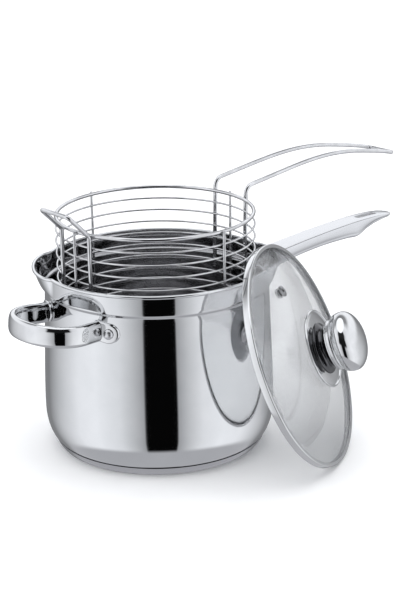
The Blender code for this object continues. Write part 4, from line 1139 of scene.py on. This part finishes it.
LIGHT_STRENGTH = 1.12

# What lies above the low light: the heights, on a dome of radius 1, between which each light comes in
ZONES = (
    (-0.70, -0.60, SIDE_LIGHT),
    (0.04, 0.24, BACKDROP_LIGHT),
    (0.50, 0.72, GAP_LIGHT),
    (0.84, 0.85, OVERHEAD_LIGHT),
)

# Floor, and the lamp that lights it alone
FLOOR_REACH = 20.0
LAMP_HEIGHT = 3.0
LAMP_SIZE = 6.0
LAMP_POWER = 125.0


def floor():
    corners = [(x * FLOOR_REACH, y * FLOOR_REACH, 0.0) for x, y in ((-1, -1), (1, -1), (1, 1), (-1, 1))]
    mesh = mesh_of("studio_floor", (corners, [[0, 1, 2, 3]]), 30.0)
    ground = new_object("studio_floor", mesh)
    paper = dull("floor_paper", (0.91, 0.91, 0.91), (0.92, 0.92, 0.92), (0.75, 0.9), 30.0, 0.00002)
    mesh.materials.append(paper)
    ground.visible_glossy = False


def room():
    """A light tent: grey below, bright sides with a dark gap round the camera, and a bright overhead."""
    world = bpy.data.worlds.new("light_tent")
    bpy.context.scene.world = world
    world.use_nodes = True
    tree = Tree(world.node_tree)
    turn = tree.add("ShaderNodeVectorRotate", rotation_type="Z_AXIS")
    turn.inputs["Angle"].default_value = math.radians(90.0) - CAMERA_AZIMUTH
    tree.link(tree.add("ShaderNodeTexCoord").outputs["Generated"], turn.inputs["Vector"])
    split = tree.add("ShaderNodeSeparateXYZ")
    tree.link(turn.outputs["Vector"], split.inputs[0])
    angle = tree.add("ShaderNodeMath", operation="ARCTAN2")
    tree.link(split.outputs["Y"], angle.inputs[0])
    tree.link(split.outputs["X"], angle.inputs[1])
    around = tree.ramp(angle.outputs[0], 0.0, 1.0, -math.pi, math.pi)
    light = LOW_LIGHT
    for start, end, above in ZONES:
        if above is not OVERHEAD_LIGHT:
            above = by_heading(tree, around, above)
        share = tree.ramp(split.outputs["Z"], 0.0, 1.0, start, end, interpolation_type="SMOOTHSTEP")
        light = mixed(tree, share, light, above)
    back = world.node_tree.nodes["Background"]
    back.inputs["Strength"].default_value = LIGHT_STRENGTH
    tree.link(light, back.inputs["Color"])


def by_heading(tree, around, stops):
    """Light that changes with the heading."""
    ramp = tree.add("ShaderNodeValToRGB")
    while len(ramp.color_ramp.elements) < len(stops):
        ramp.color_ramp.elements.new(0.5)
    for element, (degrees, light) in zip(ramp.color_ramp.elements, stops):
        element.position = 0.5 + degrees / 360.0
        element.color = (*(light * tint for tint in LIGHT_TINT), 1.0)
    tree.link(around, ramp.inputs["Fac"])
    return ramp.outputs["Color"]


def mixed(tree, share, first, second):
    """A mix of two lights, each a colour or a socket."""
    mix = tree.add("ShaderNodeMix", data_type="RGBA")
    tree.link(share, mix.inputs["Factor"])
    for socket, value in ((mix.inputs[6], first), (mix.inputs[7], second)):
        if isinstance(value, tuple):
            socket.default_value = (*value, 1.0)
        else:
            tree.link(value, socket)
    return mix.outputs[2]


def lamp():
    """A soft light straight above the floor, which polished steel doesn't mirror."""
    light = bpy.data.lights.new("floor_light", "AREA")
    light.shape = "RECTANGLE"
    light.size, light.size_y = LAMP_SIZE, LAMP_SIZE
    light.energy = LAMP_POWER
    made = new_object("floor_light", light)
    made.visible_glossy = False
    made.location = (0.0, 0.0, LAMP_HEIGHT)


def camera():
    azimuth, elevation, roll = CAMERA_AZIMUTH, CAMERA_ELEVATION, CAMERA_ROLL
    back = Vector((math.sin(azimuth) * math.cos(elevation), -math.cos(azimuth) * math.cos(elevation),
                   math.sin(elevation)))
    right = Vector((math.cos(azimuth), math.sin(azimuth), 0.0))
    up = back.cross(right)
    level = right * math.cos(roll) + up * math.sin(roll)
    upright = up * math.cos(roll) - right * math.sin(roll)
    lens = bpy.data.cameras.new("view")
    lens.sensor_width = SENSOR
    lens.lens = FOCAL_PIXELS / PICTURE[1] * SENSOR
    lens.shift_x = (PICTURE[0] / 2.0 - AIM_PIXEL[0]) / PICTURE[1]
    lens.shift_y = (AIM_PIXEL[1] - PICTURE[1] / 2.0) / PICTURE[1]
    eye = new_object("view", lens)
    spot = Vector((0.0, 0.0, AIM_HEIGHT)) + back * CAMERA_DISTANCE
    eye.matrix_world = Matrix.Translation(spot) @ Matrix((level, upright, back)).transposed().to_4x4()
    bpy.context.scene.camera = eye


def hidden_pieces():
    """CAD nodes that stay as they are and only take a better material."""
    finishes = {
        "base_core": spun_steel("core_aluminium", (0.70, 0.70, 0.71), (0.80, 0.80, 0.81), (0.38, 0.52)),
        "knob_seal": dull("seal_rubber", (0.26, 0.27, 0.28), (0.34, 0.35, 0.36), (0.45, 0.6), 600.0, 0.0001),
        "knob_insert": dull("insert_plastic_grain", (0.02, 0.02, 0.02), (0.05, 0.05, 0.05), (0.4, 0.55),
                            900.0, 0.0001),
        "knob_washer": spun_steel("washer_turned", (0.62, 0.62, 0.63), (0.74, 0.74, 0.75), (0.15, 0.3)),
        "knob_screw": spun_steel("screw_turned", (0.60, 0.60, 0.61), (0.72, 0.72, 0.73), (0.18, 0.32),
                                 0.0006),
    }
    for name, finish in finishes.items():
        mesh = frame["nodes"][name].data
        mesh.materials.clear()
        mesh.materials.append(finish)


camera()
floor()
room()
lamp()
pot()
side_handle()
long_handle()
basket()
lid()
hidden_pieces()
bpy.context.scene.view_settings.view_transform = "Standard"
